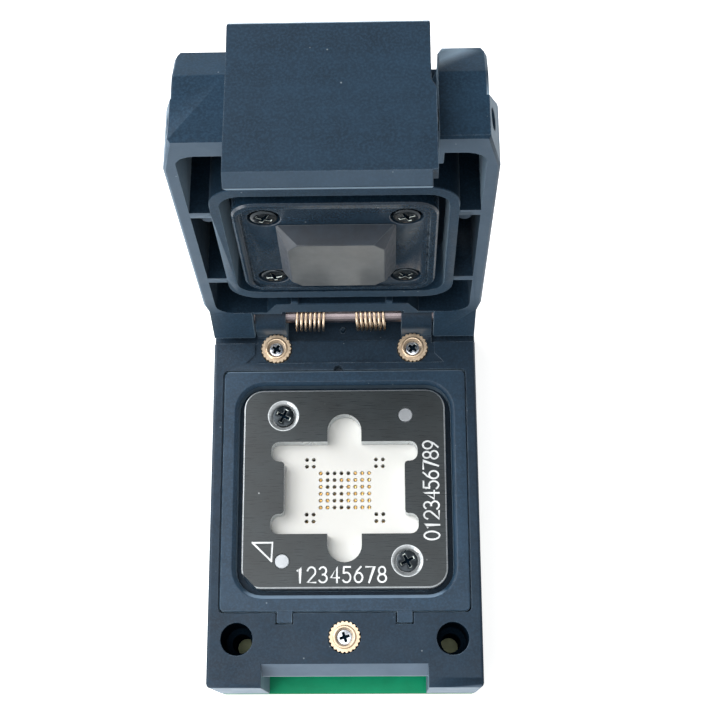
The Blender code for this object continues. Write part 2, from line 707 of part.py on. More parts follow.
def cut_hinge_spaces(base):
    """Room for the coils, for the lid's arms, and the step round the inserts."""
    beyond = BASE_REAR + MM
    above = TOP + HINGE_RISE + KNUCKLE_RADIUS + MM
    bm = bmesh.new()
    outline = rectangle(-KNUCKLE_IN, HINGE_Y - SPRING_POCKET_FRONT, KNUCKLE_IN,
                        BASE_REAR - SPRING_POCKET_WALL)
    add_prism(bm, outline, TOP - SPRING_POCKET_DEPTH, above)
    cut(base, mesh_object("coil_space_cutter", bm, None))
    floor = TOP - SPRING_POCKET_DEPTH
    profile = [(PIP_RADIUS, floor - 0.5 * MM), (PIP_RADIUS, floor + PIP_HEIGHT / 2), (PIP_RADIUS / 2, floor + PIP_HEIGHT)]
    join(base, turned("pip_helper", profile, SMALL_STEPS, None, (PIP_X, HINGE_Y - PIP_FROM_HINGE, 0)))
    bm = bmesh.new()
    arm_front = HINGE_Y - ARM_RADIUS - ARM_CLEARANCE / 4
    floor = HINGE_Z - ARM_RADIUS - ARM_CLEARANCE
    for side in (-1, 1):
        inner = side * (KNUCKLE_OUT + 0.02 * MM)
        outer = side * (BASE_WIDTH / 2 + MM)
        add_prism(bm, rectangle(min(inner, outer), arm_front, max(inner, outer), beyond), floor, above)
    cut(base, mesh_object("arm_space_cutter", bm, None))
    step = INSERT_X + INSERT_DIAMETER / 2 + INSERT_STEP_MARGIN
    corner = INSERT_STEP_CORNER
    front = INSERT_REAR_Y - INSERT_DIAMETER / 2
    outline = [(-step - corner, front), (step + corner, front), (step, front + corner),
               (step, HINGE_Y - KNUCKLE_RADIUS - 0.1 * MM), (-step, HINGE_Y - KNUCKLE_RADIUS - 0.1 * MM),
               (-step, front + corner)]
    cut(base, prism("insert_step_cutter", outline, TOP - INSERT_STEP_DEPTH, TOP + MM))


def cut_cover_seat(base):
    """Seat of the cover plate, with its tab notches, and the table pocket below."""
    gap = COVER_GAP
    floor = COVER_BOTTOM - SEAT_GAP
    middle = (COVER_REAR + COVER_FRONT) / 2
    length = COVER_REAR - COVER_FRONT + 2 * gap
    outline = rounded_rectangle(0, middle, COVER_WIDTH + 2 * gap, length, COVER_CORNER, 3)
    cut(base, prism("cover_seat_cutter", outline, floor, TOP + MM))
    bm = bmesh.new()
    for side in (-1, 1):
        x = side * TAB_SPACING / 2
        half = TAB_WIDTH / 2 + gap
        add_prism(bm, rectangle(x - half, COVER_FRONT - TAB_LENGTH - gap, x + half, COVER_FRONT + MM),
                  floor, TOP + MM)
    cut(base, mesh_object("tab_notch_cutter", bm, None))
    place = (PRY_NOTCH_X, COVER_REAR + gap, 0)
    cut(base, rods("pry_notch_cutter", [place], PRY_NOTCH_RADIUS, TOP - PRY_NOTCH_DEPTH, TOP + MM))
    width = COVER_WINDOW_WIDTH + 2 * (CARRIER_FLANGE + CARRIER_FIT)
    depth = COVER_WINDOW_LENGTH + 2 * (CARRIER_FLANGE + CARRIER_FIT)
    outline = rounded_rectangle(0, 0, width, depth, COVER_WINDOW_CORNER, 5)
    cut(base, prism("table_pocket_cutter", outline, POCKET_FLOOR, TOP + MM))
    cut(base, prism("probe_window_cutter", block_foot(SEAT_GAP), 0, POCKET_FLOOR + MM))
    outline = block_foot(PROBE_BLOCK_FLANGE + SEAT_GAP)
    top = BOARD_THICKNESS + PROBE_BLOCK_FLANGE_HEIGHT + SEAT_GAP
    cut(base, prism("probe_flange_cutter", outline, 0, top))


def cut_notch(base):
    """Front notch, its sloped lip with the undercut, and the slope on the legs."""
    beyond = BASE_FRONT - MM
    top = TOP + MM
    outline = [(beyond, 0), (LIP_UNDERCUT_Y, 0), (LIP_UNDERCUT_Y, TOP - LIP_DEPTH),
               (LIP_Y, TOP - LIP_DEPTH), (LIP_Y, TOP - LIP_SLOPE_DEPTH), (NOTCH_Y, TOP),
               (NOTCH_Y, top), (beyond, top)]
    cut(base, prism("notch_cutter", outline, -NOTCH_WIDTH / 2, NOTCH_WIDTH / 2, axis="X"))
    outline = [(LEG_SLOPE_START, TOP), (LEG_SLOPE_START, top), (beyond, top),
               (beyond, TOP - LEG_SLOPE_DROP * 1.5), (BASE_FRONT, TOP - LEG_SLOPE_DROP)]
    cut(base, prism("leg_slope_cutter", outline, -BASE_WIDTH, BASE_WIDTH, axis="X"))


def cut_bores(base):
    """Insert bores, mounting holes and the shaft bores through the knuckles."""
    places = [(x, y, 0) for x, y in insert_places().values()]
    cut(base, rods("insert_bore_cutter", places, INSERT_DIAMETER / 2 + FIT_GAP, TOP - INSERT_LENGTH - SEAT_GAP,
                   TOP + MM, ROUND_STEPS))
    cut(base, rods("screw_bore_cutter", places, BOARD_SCREW_SHANK / 2 + 2 * SEAT_GAP, 0, TOP))
    mounts = [(side * MOUNT_HOLE_X, MOUNT_HOLE_Y, 0) for side in (-1, 1)]
    cut(base, rods("mount_sink_cutter", mounts, MOUNT_HOLE_DIAMETER / 2, TOP - MOUNT_HOLE_DEPTH, TOP + MM,
                   ROUND_STEPS))
    cut(base, rods("mount_bore_cutter", mounts, MOUNT_HOLE_THROUGH / 2, 0, TOP))
    reach = KNUCKLE_OUT + MM
    cut(base, rods("shaft_bore_cutter", [(0, HINGE_Y, HINGE_Z)], SHAFT_DIAMETER / 2 + FIT_GAP, -reach, reach,
                   SMALL_STEPS + 4, "X"))


def make_cover():
    """Flush cover plate with its snap tabs and the chamfered window."""
    middle = (COVER_REAR + COVER_FRONT) / 2
    outline = rounded_rectangle(0, middle, COVER_WIDTH, COVER_REAR - COVER_FRONT, COVER_CORNER, 3)
    cover = prism("cover_plate", outline, COVER_BOTTOM, TOP, black_plastic(), edge=0.1 * MM)
    bm = bmesh.new()
    for side in (-1, 1):
        x = side * TAB_SPACING / 2
        add_prism(bm, rectangle(x - TAB_WIDTH / 2, COVER_FRONT - TAB_LENGTH, x + TAB_WIDTH / 2,
                                COVER_FRONT + 0.5 * MM), COVER_BOTTOM + 0.01 * MM, TOP - 0.05 * MM)
    join(cover, mesh_object("tab_helper", bm, None))
    window = rounded_rectangle(0, 0, COVER_WINDOW_WIDTH, COVER_WINDOW_LENGTH, COVER_WINDOW_CORNER, 7)
    cut(cover, prism("window_cutter", window, COVER_BOTTOM - MM, TOP + MM))
    rim = COVER_WINDOW_CHAMFER
    wide = rounded_rectangle(0, 0, COVER_WINDOW_WIDTH + 2 * rim, COVER_WINDOW_LENGTH + 2 * rim,
                             COVER_WINDOW_CORNER + rim, 7)
    cut(cover, loft("window_chamfer_cutter", window, wide, TOP - rim, TOP + 0.001 * MM))
    return cover


def chip_outline():
    """Seat outline with a finger slot at each end and a relief at each corner."""
    half_w = SEAT_WIDTH / 2
    half_l = SEAT_LENGTH / 2
    reach = RELIEF_REACH
    inner = half_l - CHIP_RELIEF_HEIGHT
    r = CHIP_RELIEF_CORNER
    finger = FINGER_WIDTH / 2
    tip = FINGER_REACH - finger
    small = 0.35 * MM
    quarter = [(half_w, 0), (half_w, inner - small)]
    quarter += arc(half_w + small, inner - small, small, 180, 90, 2)[1:]
    quarter += arc(reach - r, inner + r, r, -90, 0, 4)
    quarter += arc(reach - r, half_l - r, r, 0, 90, 4)
    quarter += [(finger, half_l)]
    quarter += arc(0, tip, finger, 0, 90, 7)
    points = list(quarter)
    points += [(-x, y) for x, y in reversed(quarter[:-1])]
    points += [(-x, -y) for x, y in quarter[1:]]
    points += [(x, -y) for x, y in reversed(quarter[1:-1])]
    return points


def make_guide_frame():
    """Aluminium frame that centres the chip, with one cut corner as a mark."""
    outline = rounded_rectangle(0, 0, FRAME_WIDTH, FRAME_LENGTH, FRAME_CORNER, 7)
    look = material("black_anodised", (0.028, 0.024, 0.022), 0.28, 0.85)
    frame = prism("guide_frame", outline, FRAME_BOTTOM, FRAME_TOP, look, edge=FRAME_EDGE)
    cut(frame, prism("seat_cutter", chip_outline(), FRAME_BOTTOM - MM, FRAME_TOP + MM))
    x = -FRAME_WIDTH / 2
    y = -FRAME_LENGTH / 2
    c = FRAME_MARK_CHAMFER
    corner = [(x - MM, y - MM), (x + c + MM, y - MM), (x + c, y), (x, y + c), (x - MM, y + c + MM)]
    cut(frame, prism("mark_corner_cutter", corner, FRAME_BOTTOM - MM, FRAME_TOP + MM))
    bm = bmesh.new()
    wide = FRAME_SCREW_SINK / 2
    narrow = FRAME_SCREW_SHANK / 2 + SEAT_GAP
    head = FRAME_SCREW_HEAD / 2 + SEAT_GAP
    floor = FRAME_TOP - FRAME_SCREW_LOW - FRAME_SCREW_HEAD_HEIGHT - SEAT_GAP
    for side in (-1, 1):
        profile = [(narrow, FRAME_BOTTOM - MM), (narrow, floor), (head, floor),
                   (head, FRAME_TOP - 0.35 * MM), (wide, FRAME_TOP), (wide, FRAME_TOP + MM)]
        add_turned(bm, profile, ROUND_STEPS - 4, (side * FRAME_SCREW_X, -side * FRAME_SCREW_Y, 0))
    cut(frame, mesh_object("frame_screw_cutter", bm, None))
    places = [(side * FRAME_SCREW_X, side * FRAME_SCREW_Y, 0) for side in (-1, 1)]
    cut(frame, rods("frame_dowel_cutter", places, DOWEL_DIAMETER / 2 + FIT_GAP, FRAME_BOTTOM - MM,
                    FRAME_TOP + MM))
    return frame


def make_frame_fasteners():
    """Two screws and two dowels, on opposite diagonals."""
    black = material("black_oxide_steel", (0.03, 0.03, 0.032), 0.38, 0.9)
    steel = material("polished_steel", (0.55, 0.55, 0.55), 0.25, 1.0)
    length = FRAME_TOP - CARRIER_BOTTOM - 0.5 * MM
    for side, name in ((-1, "frame_screw_rear_left"), (1, "frame_screw_front_right")):
        made = screw(name, FRAME_SCREW_HEAD, FRAME_SCREW_HEAD_HEIGHT, FRAME_SCREW_SHANK, length, black, False)
        made.location = (side * FRAME_SCREW_X, -side * FRAME_SCREW_Y, FRAME_TOP - FRAME_SCREW_LOW)
        made.rotation_euler = (0, 0, math.radians(side * FRAME_SCREW_TURN))
    for side, name in ((1, "frame_dowel_rear_right"), (-1, "frame_dowel_front_left")):
        radius = DOWEL_DIAMETER / 2
        profile = [(radius, CARRIER_BOTTOM + 0.6 * MM), (radius, FRAME_TOP - 0.1 * MM),
                   (radius - 0.1 * MM, FRAME_TOP)]
        turned(name, profile, SMALL_STEPS, steel, (side * FRAME_SCREW_X, side * FRAME_SCREW_Y, 0))


def make_pin_plate():
    """White plate with a hole over every probe place."""
    outline = rounded_rectangle(0, 0, PIN_PLATE_WIDTH, PIN_PLATE_LENGTH, 1.0 * MM, 3)
    look = material("white_plastic", (0.80, 0.82, 0.82), 0.5, 0.0)
    plate = prism("pin_plate", outline, PIN_PLATE_BOTTOM, PIN_PLATE_TOP, look)
    cut(plate, rods("pin_hole_cutter", grid_places(), PROBE_HOLE / 2, PIN_PLATE_BOTTOM - MM,
                    PIN_PLATE_TOP + MM, HOLE_SIDES))
    places = [(side * FRAME_SCREW_X, sign * FRAME_SCREW_Y, 0) for side in (-1, 1) for sign in (-1, 1)]
    cut(plate, rods("pin_plate_corner_cutter", places, DOWEL_DIAMETER / 2 + 0.4 * MM,
                    PIN_PLATE_BOTTOM - MM, PIN_PLATE_TOP + MM))
    return plate


def make_carrier():
    """Lower plate of the sprung table, held down by its flange under the cover."""
    boss_w = FRAME_WIDTH + 2 * CARRIER_BOSS_MARGIN
    boss_l = FRAME_LENGTH + 2 * CARRIER_BOSS_MARGIN
    outline = rounded_rectangle(0, 0, boss_w, boss_l, FRAME_CORNER + 0.6 * MM, 6)
    carrier = prism("table_carrier", outline, CARRIER_BOTTOM, PIN_PLATE_TOP, black_plastic())
    flange_w = COVER_WINDOW_WIDTH + 2 * CARRIER_FLANGE
    flange_l = COVER_WINDOW_LENGTH + 2 * CARRIER_FLANGE
    outline = rounded_rectangle(0, 0, flange_w, flange_l, COVER_WINDOW_CORNER, 5)
    join(carrier, prism("flange_helper", outline, CARRIER_BOTTOM + 0.02 * MM, FLANGE_TOP))
    gap = 2 * FIT_GAP
    outline = rounded_rectangle(0, 0, PIN_PLATE_WIDTH + gap, PIN_PLATE_LENGTH + gap, 1.0 * MM, 3)
    cut(carrier, prism("pin_plate_seat_cutter", outline, PIN_PLATE_BOTTOM - SEAT_GAP, TOP))
    margin = 2 * CARRIER_WINDOW_MARGIN
    outline = rounded_rectangle(0, 0, 2 * GRID_REACH_X + margin, 2 * GRID_REACH_Y + margin, 0.8 * MM, 2)
    cut(carrier, prism("carrier_window_cutter", outline, CARRIER_BOTTOM - MM, TOP))
    screws = [(side * FRAME_SCREW_X, -side * FRAME_SCREW_Y, 0) for side in (-1, 1)]
    cut(carrier, rods("carrier_thread_cutter", screws, FRAME_SCREW_SHANK / 2 + FIT_GAP,
                      CARRIER_BOTTOM + 0.3 * MM, TOP))
    dowels = [(side * FRAME_SCREW_X, side * FRAME_SCREW_Y, 0) for side in (-1, 1)]
    cut(carrier, rods("carrier_dowel_cutter", dowels, DOWEL_DIAMETER / 2 + FIT_GAP,
                      CARRIER_BOTTOM + 0.5 * MM, TOP))
    springs = [(sx * TABLE_SPRING_X, sy * TABLE_SPRING_Y, 0) for sx in (-1, 1) for sy in (-1, 1)]
    cut(carrier, rods("carrier_spring_cutter", springs, TABLE_SPRING_DIAMETER / 2 + 2 * SEAT_GAP,
                      CARRIER_BOTTOM - MM, CARRIER_BOTTOM + TABLE_SPRING_SINK))
    return carrier


def make_table_springs():
    steel = material("spring_steel", (0.42, 0.42, 0.42), 0.35, 1.0)
    low = POCKET_FLOOR + SEAT_GAP / 2
    high = CARRIER_BOTTOM + TABLE_SPRING_SINK - SEAT_GAP / 2
    for sx, across in ((-1, "left"), (1, "right")):
        for sy, along in ((-1, "front"), (1, "rear")):
            made = compression_spring("table_spring_" + along + "_" + across, TABLE_SPRING_DIAMETER,
                                      TABLE_SPRING_WIRE, high - low, steel)
            made.location = (sx * TABLE_SPRING_X, sy * TABLE_SPRING_Y, low)


def make_probe_block():
    """Block on the board that holds the sprung probes, with the probes in it."""
    bottom = BOARD_THICKNESS + FIT_GAP
    top = PROBE_BLOCK_HIGH
    gold = material("probe_gold", (0.75, 0.52, 0.22), 0.3, 1.0)
    block = prism("probe_block", block_foot(0), bottom, top, gold)
    join(block, prism("probe_flange_helper", block_foot(PROBE_BLOCK_FLANGE), bottom + 0.01 * MM,
                      BOARD_THICKNESS + PROBE_BLOCK_FLANGE_HEIGHT))
    tip = PIN_PLATE_TOP - PROBE_DROP
    radius = PROBE_DIAMETER / 2
    bm = bmesh.new()
    for place in grid_places(layout_only=True):
        profile = [(radius, top - 0.5 * MM), (radius, tip - 0.12 * MM), (radius * 0.45, tip)]
        add_turned(bm, profile, HOLE_SIDES, place)
    join(block, mesh_object("probe_helper", bm, None))
    return block


def make_insert(name, x, y):
    """Knurled brass insert with a raised collar round its threaded hole."""
    brass = material("brass", (0.62, 0.46, 0.24), 0.32, 1.0)
    outer = INSERT_DIAMETER / 2
    points = []
    for i in range(INSERT_TEETH):
        for share, radius in ((0.0, outer), (0.35, outer), (0.55, outer - INSERT_TOOTH),
                              (0.8, outer - INSERT_TOOTH)):
            angle = 2 * math.pi * (i + share) / INSERT_TEETH
            points.append((x + radius * math.cos(angle), y + radius * math.sin(angle)))
    bottom = TOP - INSERT_LENGTH
    insert = prism(name, points, bottom, TOP + 0.02 * MM, brass)
    collar = INSERT_COLLAR / 2
    high = TOP + 0.02 * MM + INSERT_COLLAR_HEIGHT
    join(insert, turned(name + "_collar_helper", [(collar, TOP - 0.5 * MM), (collar, high - 0.08 * MM),
                                                  (collar - 0.08 * MM, high)], SMALL_STEPS + 4,
                        None, (x, y, 0)))
    cut(insert, rods(name + "_hole_cutter", [(x, y, 0)], INSERT_HOLE / 2, bottom - MM, TOP + MM,
                     SMALL_STEPS + 4))
    return insert


def make_board_screw(name, x, y):
    """Countersunk screw from under the board, its tip showing in the insert."""
    steel = material("bright_steel", (0.58, 0.58, 0.57), 0.3, 1.0)
    length = TOP - BOARD_SCREW_TIP_DEPTH
    made = screw(name, BOARD_SCREW_HEAD, BOARD_SCREW_HEAD_HEIGHT, BOARD_SCREW_SHANK, length, steel, True)
    made.location = (x, y, 0)
    made.rotation_euler = (math.pi, 0, 0)
    return made


def make_shaft():
    steel = material("bright_steel", (0.58, 0.58, 0.57), 0.3, 1.0)
    radius = SHAFT_DIAMETER / 2
    half = SHAFT_LENGTH / 2
    edge = 0.15 * MM
    profile = [(radius - edge, -half), (radius, edge - half), (radius, half - edge), (radius - edge, half)]
    return turned("hinge_shaft", profile, SMALL_STEPS + 4, steel, (0, HINGE_Y, HINGE_Z), "X")


def make_torsion_spring(name, left, side):
    """Coil round the shaft, one leg down in the housing and one up behind the lid wall."""
    copper = material("spring_copper", (0.55, 0.36, 0.18), 0.3, 1.0)
    first = math.radians(-35)
    last = 2 * math.pi * TORSION_TURNS
    steps = 12 * TORSION_TURNS + 1
    points = []
    for i in range(steps + 1):
        angle = first + (last - first) * i / steps
        x = TORSION_WIRE / 2 + TORSION_PITCH * TORSION_TURNS * i / steps
        if side < 0:
            x = TORSION_WIRE + TORSION_PITCH * TORSION_TURNS - x
        points.append(Vector((left + x, TORSION_RADIUS * math.cos(angle), TORSION_RADIUS * math.sin(angle))))
    start = points[0] - (points[1] - points[0]).normalized() * TORSION_FOOT_LEG
    end = points[-1] + (points[-1] - points[-2]).normalized() * TORSION_TOP_LEG
    bm = bmesh.new()
    add_wire(bm, [start] + points + [end], TORSION_WIRE / 2, 5)
    made = mesh_object(name, bm, copper)
    made.location = (0, HINGE_Y, HINGE_Z)
    return made


def lid_height(h):
    """Height of h over the hinge axis, in the closed lid."""
    return h - LID_RIM_DROP


def lid_empty():
    """Empty on the hinge axis that swings the lid open."""
    empty = bpy.data.objects.new("lid_axis", None)
    bpy.context.collection.objects.link(empty)
    empty.location = (0, HINGE_Y, HINGE_Z)
    empty.rotation_euler = (-math.radians(LID_OPEN_ANGLE), 0, 0)
    return empty


def lid_flat(outline):
    """Outline given as (x, s) turned into the lid's own x and y."""
    return [(x, -s) for x, s in outline]


def lid_side(outline):
    """Outline given as (s, h) turned into the lid's own y and z."""
    return [(-s, lid_height(h)) for s, h in outline]


def mirrored(half):
    """Closed outline from its right half, listed from rear to front."""
    return half + [(-x, s) for x, s in reversed(half)]


def make_lid_frame(empty):
    """Moulded lid: flange, raised deck with two ears, arms, pockets, ring and ribs."""
    half = LID_WIDTH / 2
    deck = LID_DECK_WIDTH / 2
    corner = LID_FOOT_CORNER
    outline = mirrored([(ARM_OUT, LID_FOOT), (half, LID_FOOT + corner), (half, LID_TAPER_START),
                        (deck, LID_FRONT)])
    lid = prism("lid_frame", lid_flat(outline), lid_height(0), lid_height(LID_FLANGE_HEIGHT),
                black_plastic(), edge=LID_EDGE)
    lid.parent = empty
    cut(lid, prism("shoulder_cutter", lid_side([(LID_TAPER_START, LID_FLANGE_HEIGHT),
                                                (LID_FRONT, LID_FLANGE_HEIGHT - LID_SHOULDER_DROP),
                                                (LID_FRONT + MM, LID_FLANGE_HEIGHT - LID_SHOULDER_DROP),
                                                (LID_FRONT + MM, LID_FLANGE_HEIGHT + MM),
                                                (LID_TAPER_START, LID_FLANGE_HEIGHT + MM)]),
                   -half - MM, half + MM, axis="X"))
    slope = LID_DECK_SLOPE_LENGTH
    profile = [(LID_FOOT + 0.3 * MM, 1.0 * MM), (LID_FRONT, 1.0 * MM), (LID_FRONT, LID_FLANGE_HEIGHT + 0.3 * MM),
               (LID_FRONT - slope, LID_DECK_HEIGHT), (LID_DECK_REAR, LID_DECK_HEIGHT),
               (LID_FOOT + 0.3 * MM, LID_FLANGE_HEIGHT)]
    join(lid, prism("deck_helper", lid_side(profile), -deck, deck, axis="X", edge=LID_EDGE))
    join(lid, arm_helper())
    cut(lid, lid_pocket_cutter(empty))
    cut_lid_openings(lid)
    cut_lid_bores(lid)
    return lid


def arm_helper():
    """The two hinge arms, each a barrel round the axis with a neck to the lid."""
    bm = bmesh.new()
    barrel = arc(0, 0, ARM_RADIUS, -60, 130, 16)
    outline = [(-LID_FOOT - MM, lid_height(0) + 0.02 * MM)] + barrel
    outline += [(-LID_FOOT - MM, lid_height(LID_FLANGE_HEIGHT) - 0.6 * MM)]
    for side in (-1, 1):
        inner = side * ARM_IN
        outer = side * ARM_OUT
        add_prism(bm, outline, min(inner, outer), max(inner, outer), "X")
    return mesh_object("arm_helper", bm, None)


def lid_pocket_cutter(empty):
    """Space between the outer walls and the ring, less ribs, bosses and slot walls."""
    top = lid_height(POCKET_DEPTH)
    low = lid_height(0) - MM
    r = POCKET_CORNER
    half = POCKET_HALF
    front = POCKET_FRONT
    right = [(POCKET_STEP_IN, POCKET_REAR_MIDDLE), (POCKET_STEP_OUT, POCKET_REAR_SIDE)]
    right += arc(half - r, POCKET_REAR_SIDE + r, r, -90, 0, 4)
    right += arc(half - r, front - r, r, 0, 90, 4)
    tool = prism("lid_pocket_cutter", lid_flat(mirrored(right)), low, top)
    tool.parent = empty
    ring = rounded_rectangle(0, -RING_CENTRE, RING_WIDTH, RING_LENGTH, RING_CORNER, 6)
    cut(tool, prism("ring_keep_helper", ring, low - MM, top + MM))
    slot = rectangle(SLOT_LEFT - SLOT_WALL, -front - MM, SLOT_RIGHT + SLOT_WALL, -SLOT_BACK + SLOT_WALL)
    cut(tool, prism("slot_keep_helper", slot, low - MM, top + MM))
    bm = bmesh.new()
    for s in (RING_CENTRE + RIB_FRONT, RING_CENTRE - RIB_REAR):
        for side in (-1, 1):
            inner = side * (RING_WIDTH / 2 - 0.3 * MM)
            outer = side * (half + 0.5 * MM)
            add_prism(bm, rectangle(min(inner, outer), -s - RIB_THICKNESS / 2, max(inner, outer),
                                    -s + RIB_THICKNESS / 2), low - MM, top + MM)
    for side in (-1, 1):
        x = side * NUB_X
        add_prism(bm, rectangle(x - NUB_WIDTH / 2, -POCKET_REAR_MIDDLE - NUB_LENGTH, x + NUB_WIDTH / 2,
                                -POCKET_REAR_MIDDLE + 0.5 * MM), low - MM, top + MM)
    cut(tool, mesh_object("rib_keep_helper", bm, None))
    bm = bmesh.new()
    for side in (-1, 1):
        add_turned(bm, [(BOSS_RADIUS, lid_height(BOSS_TOP)), (BOSS_RADIUS, top + MM)], SMALL_STEPS,
                   (side * (RING_WIDTH / 2 + BOSS_OUT), -RING_CENTRE - BOSS_FORWARD, 0))
    cut(tool, mesh_object("boss_keep_helper", bm, None))
    return tool


def cut_lid_openings(lid):
    """Ring cavity for the pusher, slot for the latch, cut-out for the knuckles."""
    low = lid_height(0) - MM
    ring_w = RING_WIDTH - 2 * RING_WALL_SIDE
    ring_l = RING_LENGTH - 2 * RING_WALL_END
    outline = rounded_rectangle(0, -RING_CENTRE, ring_w, ring_l, RING_CORNER - RING_WALL_SIDE, 6)
    cut(lid, prism("ring_cavity_cutter", outline, low, lid_height(RING_FLOOR)))
    high = lid_height(LID_DECK_HEIGHT) + MM
    outline = rectangle(SLOT_LEFT, -LID_FRONT - MM, SLOT_RIGHT, -SLOT_BACK)
    cut(lid, prism("latch_slot_cutter", outline, low, high))
    cut_ear_chamfers(lid)
    beyond = ARM_RADIUS + MM
    wide = KNUCKLE_OUT + ARM_GAP / 2
    side = KNUCKLE_RADIUS + CUTOUT_SIDE_GAP
    middle = KNUCKLE_IN + CUTOUT_MIDDLE_GAP
    outline = [(-wide, beyond), (-wide, -side), (-middle, -side), (-middle, -CUTOUT_MIDDLE),
               (middle, -CUTOUT_MIDDLE), (middle, -side), (wide, -side), (wide, beyond)]
    cut(lid, prism("knuckle_space_cutter", outline, lid_height(-3 * MM), high))
    foot = CUTOUT_MIDDLE + FOOT_CHAMFER_LENGTH
    outline = lid_side([(LID_FOOT - MM, -0.5 * MM), (foot, -0.5 * MM), (foot, 0),
                        (CUTOUT_MIDDLE, FOOT_CHAMFER_HEIGHT), (LID_FOOT - MM, FOOT_CHAMFER_HEIGHT)])
    cut(lid, prism("foot_chamfer_cutter", outline, -middle, middle, axis="X"))


def cut_ear_chamfers(lid):
    """Slopes along the upper edges of the two ears."""
    bm = bmesh.new()
    deep = EAR_CHAMFER_HEIGHT
    wide = EAR_CHAMFER_WIDTH
    top = lid_height(LID_DECK_HEIGHT)
    for edge, into in ((-LID_DECK_WIDTH / 2, 1), (SLOT_RIGHT, 1), (LID_DECK_WIDTH / 2, -1)):
        corner = [(edge - into * wide, top + deep), (edge - into * wide, top - 2 * deep),
                  (edge + 2 * into * wide, top + deep)]
        add_wedge(bm, corner, -LID_FRONT - MM, -SLOT_BACK + MM)
    cut(lid, mesh_object("ear_chamfer_cutter", bm, None))


def pusher_screw_places():
    return [(sx * PUSHER_SCREW_X, -RING_CENTRE - sy * PUSHER_SCREW_S) for sx in (-1, 1) for sy in (-1, 1)]


def cut_lid_bores(lid):
    """Shaft bores, latch pin bores, thread bores and spring seats."""
    reach = LID_WIDTH
    cut(lid, rods("arm_bore_cutter", [(0, 0, 0)], SHAFT_DIAMETER / 2 + 2 * FIT_GAP, -reach, reach,
                  SMALL_STEPS + 4, "X"))
    pin = (0, -LATCH_PIN_S, lid_height(LATCH_PIN_H))
    cut(lid, rods("ear_bore_cutter", [pin], LATCH_PIN_DIAMETER / 2 + FIT_GAP, -reach, reach,
                  SMALL_STEPS + 4, "X"))
    places = [(x, y, 0) for x, y in pusher_screw_places()]
    cut(lid, rods("pusher_thread_cutter", places, PUSHER_SCREW_SHANK / 2 + FIT_GAP,
                  lid_height(RING_FLOOR) - MM, lid_height(PUSHER_SCREW_END) + SEAT_GAP))
    cut(lid, rods("pusher_spring_seat_cutter", places, PUSHER_SPRING_DIAMETER / 2 + 2 * SEAT_GAP,
                  lid_height(RING_FLOOR) - MM, lid_height(RING_FLOOR + PUSHER_SPRING_SINK)))
    places = [(side * LATCH_SPRING_X, 0, lid_height(LATCH_SPRING_H)) for side in (-1, 1)]
    cut(lid, rods("latch_spring_seat_cutter", places, LATCH_SPRING_DIAMETER / 2 + 2 * SEAT_GAP,
                  SLOT_BACK - LATCH_SPRING_SINK, SLOT_BACK + MM, SMALL_STEPS, "Y"))


def make_latch(empty):
    """Sprung latch: grip, pivot boss and the hook that goes under the housing's lip."""
    flare = LATCH_GRIP_FLARE
    pin_s = LATCH_PIN_S
    pin_h = LATCH_PIN_H
    r = LATCH_BOSS_RADIUS
    boss = arc(pin_s, pin_h, r, 300, 60, 10)
    catch = HOOK_CATCH_H
    tooth = LATCH_BACK - HOOK_REACH
    profile = [(LATCH_FACE, catch - HOOK_HEIGHT + HOOK_BEVEL), (LATCH_FACE, LATCH_GRIP_START),
               (LATCH_FACE + flare, LATCH_TOP - flare), (LATCH_FACE, LATCH_TOP),
               (LATCH_BACK + LATCH_TOP_INSET, LATCH_TOP), (LATCH_BACK + LATCH_TOP_INSET / 2, LATCH_TOP - flare)]
    profile += [(LATCH_BACK, pin_h + r)]
    profile += list(reversed(boss))
    profile += [(LATCH_BACK, pin_h - r), (LATCH_BACK, catch), (tooth, catch - HOOK_SLOPE),
                (tooth, catch - HOOK_SLOPE - HOOK_NOSE), (LATCH_FACE - HOOK_TIP_INSET, catch - HOOK_HEIGHT)]
    shifted = [(-(s - pin_s), h - pin_h) for s, h in profile]
    latch = prism("latch", shifted, -LATCH_WIDTH / 2, LATCH_WIDTH / 2, black_plastic(), "X")
    latch.parent = empty
    latch.location = (0, -pin_s, lid_height(pin_h))
    lug_top = LATCH_LUG_TOP - pin_h
    foot = HOOK_CATCH_H - HOOK_HEIGHT + HOOK_BEVEL - pin_h
    lug = [(LATCH_WIDTH / 2 - 0.5 * MM, foot), (LATCH_WIDTH / 2 + LATCH_LUG, foot),
           (LATCH_WIDTH / 2 + LATCH_LUG, lug_top - 2 * LATCH_LUG), (LATCH_WIDTH / 2, lug_top),
           (LATCH_WIDTH / 2 - 0.5 * MM, lug_top)]
    bm = bmesh.new()
    add_wedge(bm, lug, pin_s - LATCH_FACE, pin_s - LATCH_FACE + LATCH_LUG_DEPTH)
    join(latch, mesh_object("latch_lug_helper", bm, None))
    cut(latch, rods("latch_bore_cutter", [(0, 0, 0)], LATCH_PIN_DIAMETER / 2 + 2 * FIT_GAP,
                    -LATCH_WIDTH, LATCH_WIDTH, SMALL_STEPS + 4, "X"))
    places = [(side * LATCH_SPRING_X, 0, LATCH_SPRING_H - pin_h) for side in (-1, 1)]
    depth = LATCH_BACK - pin_s + LATCH_SPRING_REACH + LATCH_SPRING_FREE
    cut(latch, rods("latch_spring_pocket_cutter", places, LATCH_SPRING_DIAMETER / 2 + 0.5 * MM, 0,
                    depth, SMALL_STEPS, "Y"))
    for tool in latch.modifiers:
        tool.object.parent = latch
    return latch


